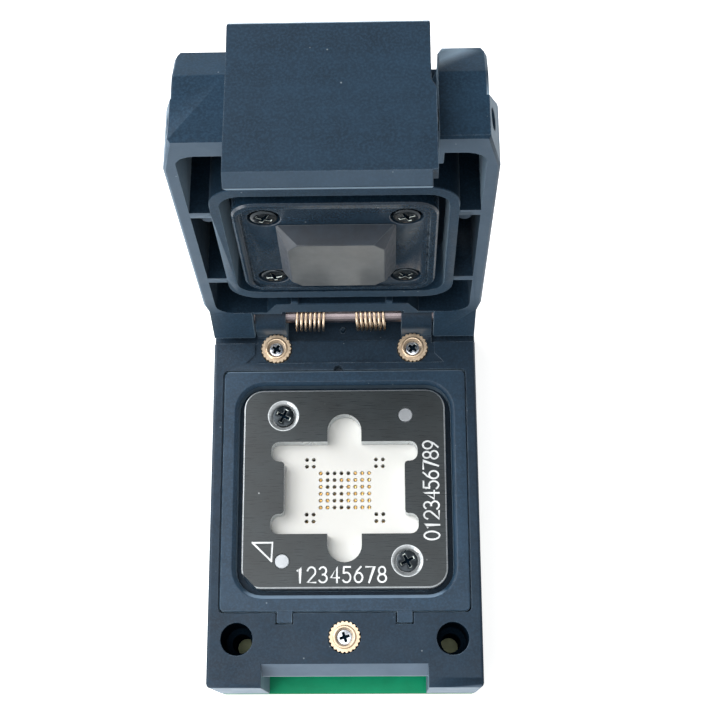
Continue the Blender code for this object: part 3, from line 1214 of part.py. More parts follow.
def make_latch_hardware(empty):
    black = material("black_oxide_steel", (0.03, 0.03, 0.032), 0.38, 0.9)
    spring_look = material("spring_steel", (0.42, 0.42, 0.42), 0.35, 1.0)
    half = LID_DECK_WIDTH / 2 - 0.1 * MM
    radius = LATCH_PIN_DIAMETER / 2
    edge = 0.15 * MM
    profile = [(radius - edge, -half), (radius, edge - half), (radius, half - edge), (radius - edge, half)]
    pin = turned("latch_pin", profile, SMALL_STEPS + 4, black, (0, 0, 0), "X")
    pin.parent = empty
    pin.location = (0, -LATCH_PIN_S, lid_height(LATCH_PIN_H))
    start = SLOT_BACK - LATCH_SPRING_SINK + SEAT_GAP / 2
    end = LATCH_BACK + LATCH_SPRING_REACH
    for side, name in ((-1, "left"), (1, "right")):
        spring = compression_spring("latch_spring_" + name, LATCH_SPRING_DIAMETER, LATCH_SPRING_WIRE,
                                    end - start, spring_look)
        spring.parent = empty
        spring.rotation_euler = (math.radians(90), 0, 0)
        spring.location = (side * LATCH_SPRING_X, -start, lid_height(LATCH_SPRING_H))


def make_pusher(empty):
    """Floating plate in the lid's ring, with a raised rim and sunk screw heads."""
    outline = rounded_rectangle(0, -RING_CENTRE, PUSHER_WIDTH, PUSHER_LENGTH, PUSHER_CORNER, 6)
    plate = prism("pusher_plate", outline, lid_height(PUSHER_RIM_H), lid_height(PUSHER_BACK_H),
                  black_plastic(), edge=PUSHER_EDGE)
    plate.parent = empty
    rim = 2 * PUSHER_RIM_WIDTH
    outline = rounded_rectangle(0, -RING_CENTRE, PUSHER_WIDTH - rim, PUSHER_LENGTH - rim,
                                PUSHER_CORNER - PUSHER_RIM_WIDTH, 5)
    cut(plate, prism("pusher_floor_cutter", outline, lid_height(PUSHER_RIM_H) - MM,
                     lid_height(PUSHER_FLOOR_H)))
    sink = lid_height(PUSHER_SCREW_HEAD_TOP + PUSHER_SCREW_HEAD_HEIGHT) + SEAT_GAP
    places = [(x, y, 0) for x, y in pusher_screw_places()]
    cut(plate, rods("pusher_sink_cutter", places, PUSHER_SCREW_HEAD / 2 + PUSHER_SINK_GAP,
                    lid_height(PUSHER_RIM_H) - MM, sink, SMALL_STEPS + 4))
    cut(plate, rods("pusher_bore_cutter", places, PUSHER_SCREW_SHANK / 2 + 2 * SEAT_GAP, sink - MM,
                    lid_height(PUSHER_BACK_H) + MM))
    cut(plate, rods("pusher_pocket_cutter", places, PUSHER_SPRING_DIAMETER / 2 + 2 * SEAT_GAP,
                    sink + PUSHER_WEB, lid_height(PUSHER_BACK_H) + MM))
    return plate


def block_outline(width, length, corner):
    """Rectangle with cut corners round the ring's middle."""
    x = width / 2
    y = length / 2
    points = [(x, -y + corner), (x, y - corner), (x - corner, y), (corner - x, y),
              (-x, y - corner), (-x, corner - y), (corner - x, -y), (x - corner, -y)]
    return [(px, py - RING_CENTRE) for px, py in points]


def make_block(empty):
    """Pressure block, a low pyramid with a flat face and cut corners."""
    look = material("black_anodised", (0.028, 0.024, 0.022), 0.28, 0.85)
    foot = block_outline(BLOCK_FOOT_WIDTH, BLOCK_FOOT_LENGTH, 0.15 * MM)
    face = block_outline(BLOCK_FACE_WIDTH, BLOCK_FACE_LENGTH, BLOCK_CORNER_CUT)
    top = lid_height(PUSHER_FLOOR_H) - FIT_GAP
    block = loft("pressure_block", face, foot, lid_height(BLOCK_FACE_H), top, look)
    block.parent = empty
    return block


def make_pusher_hardware(empty):
    """Four shoulder screws that hold the plate, each with its spring."""
    black = material("black_oxide_steel", (0.03, 0.03, 0.032), 0.38, 0.9)
    steel = material("spring_steel", (0.42, 0.42, 0.42), 0.35, 1.0)
    names = ("left_rear", "left_front", "right_rear", "right_front")
    head_top = lid_height(PUSHER_SCREW_HEAD_TOP)
    length = PUSHER_SCREW_END - PUSHER_SCREW_HEAD_TOP
    sink = head_top + PUSHER_SCREW_HEAD_HEIGHT + SEAT_GAP
    low = sink + PUSHER_WEB + PUSHER_TRAVEL + FIT_GAP
    high = lid_height(RING_FLOOR + PUSHER_SPRING_SINK) - SEAT_GAP / 2
    for name, (x, y) in zip(names, pusher_screw_places()):
        made = screw("pusher_screw_" + name, PUSHER_SCREW_HEAD, PUSHER_SCREW_HEAD_HEIGHT,
                     PUSHER_SCREW_SHANK, length, black, False)
        made.parent = empty
        made.rotation_euler = (math.pi, 0, 0)
        made.location = (x, y, head_top)
        spring = compression_spring("pusher_spring_" + name, PUSHER_SPRING_DIAMETER, PUSHER_SPRING_WIRE,
                                    high - low, steel)
        spring.parent = empty
        spring.location = (x, y, low)


def main():
    for old in list(bpy.data.objects):
        bpy.data.objects.remove(old, do_unlink=True)
    make_board()
    make_base()
    make_cover()
    make_guide_frame()
    make_frame_fasteners()
    make_pin_plate()
    make_carrier()
    make_table_springs()
    make_probe_block()
    for name, (x, y) in insert_places().items():
        make_insert(name, x, y)
        make_board_screw(name.replace("insert", "board_screw"), x, y)
    make_shaft()
    make_torsion_spring("torsion_spring_left", TORSION_LEFT_X, -1)
    make_torsion_spring("torsion_spring_right", TORSION_RIGHT_X, 1)
    empty = lid_empty()
    make_lid_frame(empty)
    make_latch(empty)
    make_latch_hardware(empty)
    make_pusher(empty)
    make_block(empty)
    make_pusher_hardware(empty)
    bpy.context.view_layer.update()


main()
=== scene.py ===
import math
import random

import bmesh
import bpy
from mathutils import Matrix, Vector
from mathutils.bvhtree import BVHTree


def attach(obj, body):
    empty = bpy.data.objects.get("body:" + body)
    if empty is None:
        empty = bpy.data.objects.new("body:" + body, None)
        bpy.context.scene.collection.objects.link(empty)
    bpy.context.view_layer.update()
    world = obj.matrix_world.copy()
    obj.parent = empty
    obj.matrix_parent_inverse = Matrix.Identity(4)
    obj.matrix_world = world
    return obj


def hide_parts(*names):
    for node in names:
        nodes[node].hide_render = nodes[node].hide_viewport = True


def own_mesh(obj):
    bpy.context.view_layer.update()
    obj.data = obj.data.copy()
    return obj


mm = 0.001

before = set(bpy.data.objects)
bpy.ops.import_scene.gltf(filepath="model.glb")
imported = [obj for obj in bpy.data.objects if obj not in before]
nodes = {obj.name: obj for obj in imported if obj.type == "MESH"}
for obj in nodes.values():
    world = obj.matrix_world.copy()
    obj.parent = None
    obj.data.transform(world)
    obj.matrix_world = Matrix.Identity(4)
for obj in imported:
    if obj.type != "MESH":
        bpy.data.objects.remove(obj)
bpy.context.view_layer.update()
random.seed(7)


# Places that several pieces share, in mm and taken from the solids where they have one

def point(x, y, z):
    return Vector((x, y, z)) * mm


def boxOf(name, turn=Matrix.Identity(4)):
    places = [turn @ v.co for v in nodes[name].data.vertices]
    low = Vector([min(p[i] for p in places) for i in range(3)])
    high = Vector([max(p[i] for p in places) for i in range(3)])
    return low / mm, high / mm


def middleOf(name, turn=Matrix.Identity(4)):
    low, high = boxOf(name, turn)
    return (low + high) / 2


openAngle = 95.8  # degrees from the shut lid to the open one
rimDrop = 1.38  # from the hinge axis to the lid's rim
hingePlace = middleOf("hinge_shaft") * mm
lidTurn = Matrix.Translation(hingePlace) @ Matrix.Rotation(math.radians(-openAngle), 4, "X")
mountHoles = ((-12.0, -17.0), (12.0, -17.0))
frameScrews = ("rear_left", "front_right")
plateScrews = ("left_rear", "right_rear", "left_front", "right_front")
inserts = ("front", "rear_left", "rear_right")


def lidPoint(x, along, inward):
    # a point of the open lid: along it from the hinge, and in from its rim
    return lidTurn @ point(x, -along, inward - rimDrop)


def placeOnLid(name):
    # where a solid's middle is across the lid and along it
    middle = middleOf(name, lidTurn.inverted())
    return middle.x, -middle.y


# Camera of the photograph, fitted to the part's own corners

cameraSettings = {
    "place": (0.004913, -0.030465, 0.171273), "downAngle": 73.74, "yaw": -5.25, "roll": -5.58,
    "lens": 71.79, "sensor": 36, "nearest": 0.001,
}


def makeCamera():
    s = cameraSettings
    down, yaw, roll = (math.radians(s[key]) for key in ("downAngle", "yaw", "roll"))
    ahead = Vector((math.sin(yaw) * math.cos(down), math.cos(yaw) * math.cos(down), -math.sin(down)))
    right = ahead.cross(Vector((0, 0, 1))).normalized()
    up = right.cross(ahead)
    tiltedRight = math.cos(roll) * right + math.sin(roll) * up
    tiltedUp = -math.sin(roll) * right + math.cos(roll) * up
    data = bpy.data.cameras.new("photoCamera")
    data.sensor_width = s["sensor"]
    data.sensor_fit = "HORIZONTAL"
    data.lens = s["lens"]
    data.clip_start = s["nearest"]
    camera = bpy.data.objects.new("photoCamera", data)
    turn = Matrix((tiltedRight, tiltedUp, -ahead)).transposed()
    camera.matrix_world = Matrix.Translation(s["place"]) @ turn.to_4x4()
    bpy.context.scene.collection.objects.link(camera)
    bpy.context.scene.camera = camera


# Small helpers for building node trees

def newMaterial(name):
    material = bpy.data.materials.new(name)
    material.use_nodes = True
    return material, material.node_tree


def feed(tree, socket, value):
    # links an output, or sets a plain value
    if isinstance(value, bpy.types.NodeSocket):
        tree.links.new(value, socket)
    else:
        socket.default_value = value


def finished(material, values):
    tree = material.node_tree
    shader = next(n for n in tree.nodes if n.type == "BSDF_PRINCIPLED")
    for name, value in values.items():
        feed(tree, shader.inputs[name], value)
    return material


def addNode(tree, kind, **settings):
    node = tree.nodes.new(kind)
    for key, value in settings.items():
        if key in node.inputs:
            node.inputs[key].default_value = value
        else:
            setattr(node, key, value)
    return node


def partPlace(tree):
    return tree.nodes.new("ShaderNodeTexCoord").outputs["Object"]


def partNormal(tree):
    return tree.nodes.new("ShaderNodeTexCoord").outputs["Normal"]


def stretched(tree, scale):
    node = addNode(tree, "ShaderNodeMapping", Scale=scale)
    tree.links.new(partPlace(tree), node.inputs["Vector"])
    return node.outputs[0]


def axisOf(tree, vector, axis):
    axes = tree.nodes.new("ShaderNodeSeparateXYZ")
    tree.links.new(vector, axes.inputs[0])
    return axes.outputs[axis]


def noise(tree, scale, detail, rough=0.6, place=None):
    node = addNode(tree, "ShaderNodeTexNoise", Scale=scale, Detail=detail, Roughness=rough)
    tree.links.new(place or partPlace(tree), node.inputs["Vector"])
    return node.outputs["Fac"]


def ramp(tree, value, low, high, lowOut=0.0, highOut=1.0):
    node = tree.nodes.new("ShaderNodeMapRange")
    tree.links.new(value, node.inputs["Value"])
    node.inputs["From Min"].default_value = low
    node.inputs["From Max"].default_value = high
    node.inputs["To Min"].default_value = lowOut
    node.inputs["To Max"].default_value = highOut
    return node.outputs["Result"]


def pattern(tree, scale, detail, low, high, lowOut=0.0, highOut=1.0, rough=0.6, place=None):
    # noise whose low and high levels are stretched to lowOut and highOut
    return ramp(tree, noise(tree, scale, detail, rough, place), low, high, lowOut, highOut)


def combine(tree, kind, first, second):
    node = addNode(tree, "ShaderNodeMath", operation=kind, use_clamp=kind in ("ADD", "MULTIPLY", "MAXIMUM"))
    feed(tree, node.inputs[0], first)
    feed(tree, node.inputs[1], second)
    return node.outputs[0]


def times(tree, share, *others):
    for other in others:
        share = combine(tree, "MULTIPLY", share, other)
    return share


def compare(tree, kind, first, second):
    node = addNode(tree, "ShaderNodeVectorMath", operation=kind)
    feed(tree, node.inputs[0], first)
    feed(tree, node.inputs[1], second)
    return node.outputs["Value"]


def mixColour(tree, share, first, second):
    node = addNode(tree, "ShaderNodeMix", data_type="RGBA")
    tree.links.new(share, node.inputs["Factor"])
    for socket, value in ((node.inputs[6], first), (node.inputs[7], second)):
        feed(tree, socket, (*value, 1.0) if isinstance(value, (tuple, list)) else value)
    return node.outputs[2]


def shade(colour, share):
    return [c * share for c in colour]


def cloudyColour(tree, clouds, colour, dark, light=1.0):
    # drifts between a darker and a lighter shade of one colour
    return mixColour(tree, pattern(tree, *clouds), shade(colour, dark), shade(colour, light))


def facing(tree, way, low, high):
    # 1 on faces that look this way at rest
    return ramp(tree, compare(tree, "DOT_PRODUCT", partNormal(tree), way), low, high)


def levelness(tree):
    # 1 on level faces, 0 on upright ones
    return combine(tree, "ABSOLUTE", axisOf(tree, partNormal(tree), "Z"), 0.0)


def edgeMask(tree, radius, low=0.02, high=0.25):
    # 1 along outer edges, from how far a rounded normal leans from the true one
    rounded = addNode(tree, "ShaderNodeBevel", samples=4, Radius=radius)
    plain = tree.nodes.new("ShaderNodeNewGeometry").outputs["Normal"]
    lean = combine(tree, "SUBTRACT", 1.0, compare(tree, "DOT_PRODUCT", rounded.outputs[0], plain))
    return ramp(tree, lean, low, high)


def bump(tree, s, coarse):
    # a coarse relief with a fine one over it
    last = None
    for height, (strength, distance) in ((coarse, s["coarseBump"]), (noise(tree, *s["fine"]), s["fineBump"])):
        node = addNode(tree, "ShaderNodeBump", Strength=strength, Distance=distance)
        tree.links.new(height, node.inputs["Height"])
        if last:
            tree.links.new(last, node.inputs["Normal"])
        last = node.outputs[0]
    return last


speckSettings = {"softEdge": 0.6, "rarity": (0.8, 0.82)}


def specks(tree, scale, size, share):
    # sparse round specks, share inside each
    s = speckSettings
    cells = addNode(tree, "ShaderNodeTexVoronoi", Scale=scale, Randomness=1.0)
    tree.links.new(partPlace(tree), cells.inputs["Vector"])
    near = ramp(tree, cells.outputs["Distance"], size, size * s["softEdge"])
    pick = tree.nodes.new("ShaderNodeSeparateColor")
    tree.links.new(cells.outputs["Color"], pick.inputs[0])
    chosen = ramp(tree, pick.outputs[0], *s["rarity"])
    return times(tree, near, chosen, share)


# Materials; a pattern is scale, detail, low level, high level, then what the two levels give

plasticSettings = {
    "colour": (0.011, 0.028, 0.050),
    "clouds": (260.0, 5.0, 0.3, 0.7),
    "cloudShades": (0.8, 1.25),
    "mottle": (4300.0, 2.0, 0.42, 0.72, 0.0, 0.5),
    "mottleShade": 2.4,
    "streaks": (520.0, 3.0, 0.4, 0.75, 0.0, 0.22, 0.5),
    "streakStretch": (0.06, 1.0, 1.0),
    "streakShade": 1.9,
    # painted light: the paler colour put on faces that look given ways, and how it is spread and faded
    "paintedLight": (0.098, 0.140, 0.190),
    "paintedLightFacing": (0.88, 0.97),
    "paintedLightClouds": (350.0, 4.0, 0.25, 0.75, 0.75, 1.0),
    "paintedLightFade": {"front": 0.5, "side": 0.1, "high": 0.5, "low": 4},
    "worn": (0.170, 0.225, 0.280),
    "wornEdge": 0.17 * mm,
    "wornPatches": (900.0, 4.0, 0.36, 0.62),
    "wornShare": 0.8,
    "dust": (0.30, 0.36, 0.40),
    "dustSpecks": (700.0, 0.075, 0.5),
    "roughness": 0.44,
    "smudge": (420.0, 6.0, 0.3, 0.7),
    "smudgeSpread": (-0.07, 0.09),
    "wornRoughness": 0.1,
    "haze": 0.7,
    "hazeRoughness": 0.36,
    "hazeTint": (0.58, 0.80, 1.0, 1.0),
    "flow": (700.0, 3.0),
    "coarseBump": (0.12, 0.03 * mm),
    "fine": (5200.0, 2.0),
    "fineBump": (0.3, 0.016 * mm),
}

# Painted light, a paler colour standing in for light at a slant on faces that look one way: the way they
# look, how much painted light they carry, how pale it is, and where
paintedLights = {
    "housing": [
        {"way": (0, -1, 0), "strength": 0.9, "paleness": 1.1, "front": -18},
        {"way": (0, -0.86, 0.51), "strength": 1.0, "paleness": 1.45, "front": -18},
    ],
    "lid": [
        {"way": (0, -0.995, 0.101), "strength": 0.7, "paleness": 1.15, "side": 12.3, "high": 52.5, "low": 20},
    ],
    "latch": [{"way": (0, -0.68, 0.73), "strength": 0.45, "paleness": 1.0}],
    "cover": [{"way": (0, 0.707, 0.707), "strength": 1.0, "paleness": 1.9}],
}


def step(tree, axis, start, end):
    return ramp(tree, axis, start * mm, end * mm)


def paintedLightOver(tree, paintedLight):
    # share of painted light: full in front of a limit, or on the lid's outer rim clear of the hinge
    s = plasticSettings
    fade = s["paintedLightFade"]
    share = times(tree, facing(tree, paintedLight["way"], *s["paintedLightFacing"]), paintedLight["strength"],
                  pattern(tree, *s["paintedLightClouds"]))
    if "front" in paintedLight:
        front = step(tree, axisOf(tree, partPlace(tree), "Y"), paintedLight["front"], paintedLight["front"] - fade["front"])
        share = times(tree, share, front)
    if "side" in paintedLight:
        across = combine(tree, "ABSOLUTE", axisOf(tree, partPlace(tree), "X"), 0.0)
        height = axisOf(tree, partPlace(tree), "Z")
        outside = step(tree, across, paintedLight["side"] - fade["side"], paintedLight["side"] + fade["side"])
        top = step(tree, height, paintedLight["high"] - fade["high"], paintedLight["high"] + fade["high"])
        clear = step(tree, height, paintedLight["low"], paintedLight["low"] + fade["low"])
        share = times(tree, share, combine(tree, "MAXIMUM", outside, top), clear)
    return share


def makePlastic(name, tone=1.0, roughness=0.0, wear=1.0, haze=1.0, shine=0.17, paintedLightOf=None):
    # glass-filled moulded plastic, nearly black with a blue cast and a pale haze at a slant; faces that look
    # given ways get painted light
    s = plasticSettings
    material, tree = newMaterial(name)
    base = shade(s["colour"], tone)
    colour = cloudyColour(tree, s["clouds"], base, *s["cloudShades"])
    colour = mixColour(tree, pattern(tree, *s["mottle"]), colour, shade(base, s["mottleShade"]))
    streaks = pattern(tree, *s["streaks"], place=stretched(tree, s["streakStretch"]))
    colour = mixColour(tree, streaks, colour, shade(base, s["streakShade"]))
    # painted light: the paler colour mixed in where faces look the given ways
    for paintedLight in paintedLights.get(paintedLightOf, ()):
        colour = mixColour(tree, paintedLightOver(tree, paintedLight), colour, shade(s["paintedLight"], paintedLight["paleness"]))
    patches = pattern(tree, *s["wornPatches"])
    rubbed = times(tree, edgeMask(tree, s["wornEdge"]), patches, s["wornShare"] * wear)
    colour = mixColour(tree, rubbed, colour, s["worn"])
    colour = mixColour(tree, specks(tree, *s["dustSpecks"]), colour, s["dust"])
    levels = [s["roughness"] + roughness + spread for spread in s["smudgeSpread"]]
    smudge = pattern(tree, *s["smudge"], *levels)
    rough = combine(tree, "ADD", smudge, times(tree, rubbed, s["wornRoughness"]))
    return finished(material, {
        "Base Color": colour,
        "Roughness": rough,
        "Specular IOR Level": shine,
        "Sheen Weight": s["haze"] * haze,
        "Sheen Roughness": s["hazeRoughness"],
        "Sheen Tint": s["hazeTint"],
        "Normal": bump(tree, s, noise(tree, *s["flow"])),
    })


anodisedSettings = {
    "colour": (0.014, 0.020, 0.023),
    "clouds": (300.0, 5.0, 0.3, 0.7),
    "cloudShades": (0.75, 1.3),
    "bare": (0.60, 0.64, 0.66),
    "bareClouds": (2200.0, 3.0, 0.3, 0.7),
    "bareShade": 0.75,
    "cutFace": (0.93, 0.8),
    "rubbed": (1500.0, 3.0, 0.34, 0.5),
    "leastRubbed": 0.75,
    "sinkRadius": 1.82,
    "sinkEdge": 0.03,
    "bareSpecks": (520.0, 0.07, 0.8),
    "metallic": (0.12, 0.6),
    "brushed": (1.0, 22.0, 1.0),
    "lines": (500.0, 4.0),
    "coarseBump": (0.1, 0.01 * mm),
    "roughness": (0.24, 0.38),
    "fine": (9000.0, 2.0),
    "fineBump": (0.18, 0.008 * mm),
}


def makeAnodised():
    # black anodised aluminium plate, bare metal where a cutter broke the skin
    s = anodisedSettings
    material, tree = newMaterial("anodisedPlate")
    skin = cloudyColour(tree, s["clouds"], s["colour"], *s["cloudShades"])
    metal = cloudyColour(tree, s["bareClouds"], s["bare"], s["bareShade"])
    rubbed = combine(tree, "ADD", pattern(tree, *s["rubbed"]), s["leastRubbed"])
    bare = times(tree, ramp(tree, levelness(tree), *s["cutFace"]), rubbed)
    flatPlace = stretched(tree, (1.0, 1.0, 0.0))
    for name in frameScrews:
        middle = middleOf("frame_screw_" + name)
        away = compare(tree, "DISTANCE", flatPlace, point(middle.x, middle.y, 0))
        sink = step(tree, away, s["sinkRadius"], s["sinkRadius"] - s["sinkEdge"])
        bare = combine(tree, "MAXIMUM", bare, sink)
    bare = combine(tree, "ADD", bare, specks(tree, *s["bareSpecks"]))
    lines = noise(tree, *s["lines"], place=stretched(tree, s["brushed"]))
    return finished(material, {
        "Base Color": mixColour(tree, bare, skin, metal),
        "Metallic": ramp(tree, bare, 0.0, 1.0, *s["metallic"]),
        "Roughness": ramp(tree, lines, 0.3, 0.7, *s["roughness"]),
        "Normal": bump(tree, s, lines),
    })


metalSettings = {
    "clouds": (420.0, 5.0, 0.3, 0.72),
    "edge": 0.07 * mm,
    "edgeShare": 0.45,
    "ownEdgeShare": 0.8,
    "edgeShade": 1.25,
    "grain": (1400.0, 4.0, 0.6),
    "roughSpread": (-0.08, 0.10),
    "coarseBump": (0.12, 0.01 * mm),
    "fine": (6000.0, 2.0),
    "fineBump": (0.08, 0.006 * mm),
}


def makeMetal(name, colour, tarnish, roughness, metallic=1.0, brushed=None, edgeColour=None):
    # turned or ground metal, brushed gives the stretch of its grain along x, y and z
    s = metalSettings
    material, tree = newMaterial(name)
    grain = noise(tree, *s["grain"], stretched(tree, brushed) if brushed else None)
    shown = mixColour(tree, pattern(tree, *s["clouds"]), tarnish, colour)
    share = s["ownEdgeShare"] if edgeColour else s["edgeShare"]
    edge = times(tree, edgeMask(tree, s["edge"]), share)
    bright = edgeColour or [min(1.0, c) for c in shade(colour, s["edgeShade"])]
    return finished(material, {
        "Base Color": mixColour(tree, edge, shown, bright),
        "Metallic": metallic,
        "Roughness": ramp(tree, grain, 0.3, 0.7, *(roughness + spread for spread in s["roughSpread"])),
        "Normal": bump(tree, s, grain),
    })


blockSettings = {
    "slope": (0.014, 0.023, 0.036),
    "slopeShades": (0.7, 1.4),
    # the face's colour: wear from the chips and a painted reflection of the white pin plate
    "face": (0.120, 0.132, 0.140),
    "faceShade": 0.8,
    "faceFacing": (0.96, 0.99),
    "clouds": (600.0, 5.0, 0.32, 0.7),
    "edge": (0.16, 0.19, 0.21),
    "edgeRadius": 0.12 * mm,
    "edgeShare": 0.6,
    "roughness": (0.4, 0.16),
    "marks": (1800.0, 4.0, 0.35, 0.7, -0.05, 0.08),
    "shine": 0.5,
    "flow": (900.0, 3.0),
    "coarseBump": (0.06, 0.01 * mm),
    "fine": (7000.0, 2.0),
    "fineBump": (0.1, 0.006 * mm),
}


def makeBlock():
    # black block, dull on its slopes and polished on the face that presses the chip; that face is paler from
    # wear by the chips and from a painted reflection of the white pin plate
    s = blockSettings
    material, tree = newMaterial("pressureBlock")
    turn = math.radians(openAngle)
    face = facing(tree, (0, -math.sin(turn), -math.cos(turn)), *s["faceFacing"])
    slope = cloudyColour(tree, s["clouds"], s["slope"], *s["slopeShades"])
    # paler face colour: chip wear and a painted reflection
    faceWearAndReflection = cloudyColour(tree, s["clouds"], s["face"], s["faceShade"])
    edge = times(tree, edgeMask(tree, s["edgeRadius"]), s["edgeShare"])
    level = ramp(tree, face, 0.0, 1.0, *s["roughness"])
    return finished(material, {
        "Base Color": mixColour(tree, edge, mixColour(tree, face, slope, faceWearAndReflection), s["edge"]),
        "Roughness": combine(tree, "ADD", level, pattern(tree, *s["marks"])),
        "Specular IOR Level": s["shine"],
        "Normal": bump(tree, s, noise(tree, *s["flow"])),
    })


pinPlateSettings = {
    "colour": (0.765, 0.765, 0.735),
    "clouds": (180.0, 4.0, 0.3, 0.7),
    "cloudShade": 0.97,
    "speck": (0.45, 0.40, 0.30),
    "specks": (900.0, 0.07, 0.25),
    "cutterStretch": (1.0, 14.0, 1.0),
    "lines": (700.0, 3.0, 0.5),
    "coarseBump": (0.08, 0.01 * mm),
    "roughness": (0.32, 0.45),
    "milkiness": 0.12,
    "milkReach": (0.9, 0.8, 0.6),
    "milkScale": 0.3 * mm,
    "fine": (8000.0, 2.0),
    "fineBump": (0.1, 0.005 * mm),
}


def makePinPlate():
    # white machined plastic, faintly milky, with the cutter's fine lines
    s = pinPlateSettings
    material, tree = newMaterial("whitePinPlate")
    colour = cloudyColour(tree, s["clouds"], s["colour"], s["cloudShade"])
    colour = mixColour(tree, specks(tree, *s["specks"]), colour, s["speck"])
    lines = noise(tree, *s["lines"], stretched(tree, s["cutterStretch"]))
    return finished(material, {
        "Base Color": colour,
        "Roughness": ramp(tree, lines, 0.3, 0.7, *s["roughness"]),
        "Subsurface Weight": s["milkiness"],
        "Subsurface Radius": s["milkReach"],
        "Subsurface Scale": s["milkScale"],
        "Normal": bump(tree, s, lines),
    })


boardSettings = {
    "mask": (0.0, 0.40, 0.18),
    "maskShades": (0.85, 1.1),
    "clouds": (300.0, 4.0, 0.3, 0.7),
    "laminate": (0.16, 0.36, 0.20),
    "laminateShade": 0.7,
    "layers": (1100.0, 2.5, "Z"),
    "weave": (900.0, 1.5, "DIAGONAL"),
    "coarseBump": (0.05, 0.01 * mm),
    "sawnFace": (0.75, 0.5),
    "roughness": (0.32, 0.75),
    "shine": 0.12,
    "fine": (5000.0, 3.0),
    "fineBump": (0.12, 0.01 * mm),
}


def bands(tree, scale, distortion, direction):
    node = addNode(tree, "ShaderNodeTexWave", Scale=scale, Distortion=distortion, bands_direction=direction)
    tree.links.new(partPlace(tree), node.inputs["Vector"])
    return node.outputs["Fac"]


def makeBoard():
    # green solder mask above and below, the laminate's layers along the sawn edge
    s = boardSettings
    material, tree = newMaterial("greenBoard")
    sawn = ramp(tree, levelness(tree), *s["sawnFace"])
    mask = cloudyColour(tree, s["clouds"], s["mask"], *s["maskShades"])
    dark = shade(s["laminate"], s["laminateShade"])
    layers = mixColour(tree, bands(tree, *s["layers"]), dark, s["laminate"])
    return finished(material, {
        "Base Color": mixColour(tree, sawn, mask, layers),
        "Roughness": ramp(tree, sawn, 0.0, 1.0, *s["roughness"]),
        "Specular IOR Level": s["shine"],
        "Normal": bump(tree, s, bands(tree, *s["weave"])),
    })


def makeMaterials():
    made = {
        # the housing, lid, latch and cover carry painted light on faces that look given ways
        "housing": makePlastic("housingPlastic", 0.72, haze=0.5, shine=0.2, paintedLightOf="housing"),
        "lid": makePlastic("lidPlastic", 0.95, 0.04, haze=0.72, shine=0.1, paintedLightOf="lid"),
        "latch": makePlastic("latchPlastic", 0.82, 0.02, 0.8, 0.85, paintedLightOf="latch"),
        "cover": makePlastic("coverPlastic", 1.1, -0.02, 1.4, 0.5, 0.26, paintedLightOf="cover"),
        "pusher": makePlastic("pusherPlastic", 0.75, -0.26, haze=0.2, shine=0.4),
        # painted shade: darker plastic for the walls of the mounting holes
        "bore": makePlastic("paintedShadeBore", 0.4, 0.2, wear=0.0, haze=0.0, shine=0.0),
        # painted shade: darker plastic for the lid's pocket walls and floors
        "pocket": makePlastic("paintedShadePocket", 0.6, 0.06, wear=0.7, haze=0.1, shine=0.1),
        "carrier": makePlastic("carrierPlastic", 0.7, 0.05, wear=0.4),
        # painted shade: dark plastic inside the screws' cross recesses, steel screws too
        "recess": makePlastic("paintedShadeRecess", 0.35, 0.2, wear=0.0, haze=0.0, shine=0.0),
        "block": makeBlock(),
        "anodised": makeAnodised(),
        "pinPlate": makePinPlate(),
        "board": makeBoard(),
        "brass": makeMetal("brassInsert", (0.66, 0.53, 0.39), (0.50, 0.38, 0.26), 0.42, 0.8),
        "gold": makeMetal("goldProbe", (0.86, 0.62, 0.30), (0.55, 0.36, 0.15), 0.25),
        "steel": makeMetal("groundSteel", (0.34, 0.29, 0.30), (0.22, 0.19, 0.20), 0.3, brushed=(1, 14, 14)),
        "screwSteel": makeMetal("screwSteel", (0.62, 0.65, 0.70), (0.30, 0.33, 0.38), 0.22),
        "blackScrew": makeMetal("blackenedSteel", (0.014, 0.022, 0.028), (0.006, 0.010, 0.014), 0.2, 0.6,
                                edgeColour=(0.30, 0.34, 0.36)),
        "springCopper": makeMetal("springCopper", (0.70, 0.56, 0.43), (0.42, 0.31, 0.20), 0.22),
        "springSteel": makeMetal("springSteel", (0.50, 0.50, 0.50), (0.28, 0.28, 0.28), 0.28),
        "dowel": makeMetal("dowelSteel", (0.40, 0.42, 0.44), (0.27, 0.29, 0.31), 0.35, 0.7, (18, 1, 1)),
        # painted highlight: brighter metal along the lip of the cross recesses
        "recessEdgeHighlight": makeMetal("recessEdgeHighlight", (0.70, 0.76, 0.72), (0.34, 0.38, 0.36), 0.28, 0.6),
        "engraving": makeMetal("bareEngraving", (0.80, 0.82, 0.83), (0.50, 0.52, 0.53), 0.45, 0.5),
        "tinned": makeMetal("tinnedPad", (0.40, 0.45, 0.27), (0.27, 0.30, 0.17), 0.5, 0.3),
    }
    print("materials made:", len(made))
    return made


makeCamera()
looks = makeMaterials()

# Solids that are shown as they are
nodeLooks = {
    "anodised": ["guide_frame"],
    "pinPlate": ["pin_plate"],
    "gold": ["probe_block"],
    "steel": ["hinge_shaft"],
    "screwSteel": ["board_screw_" + name for name in inserts],
    "blackScrew": ["latch_pin"],
    "dowel": ["frame_dowel_front_left", "frame_dowel_rear_right"],
}

for look, names in nodeLooks.items():
    for name in names:
        node = nodes[name]
        if not node.material_slots:
            node.data.materials.append(looks[look])
        for slot in node.material_slots:
            slot.material = looks[look]


# Meshes made here ride on the solids' bodies

def meshFrom(bm, name, look):
    bmesh.ops.recalc_face_normals(bm, faces=bm.faces)
    mesh = bpy.data.meshes.new(name)
    bm.to_mesh(mesh)
    bm.free()
    mesh.materials.append(looks[look])
    return mesh


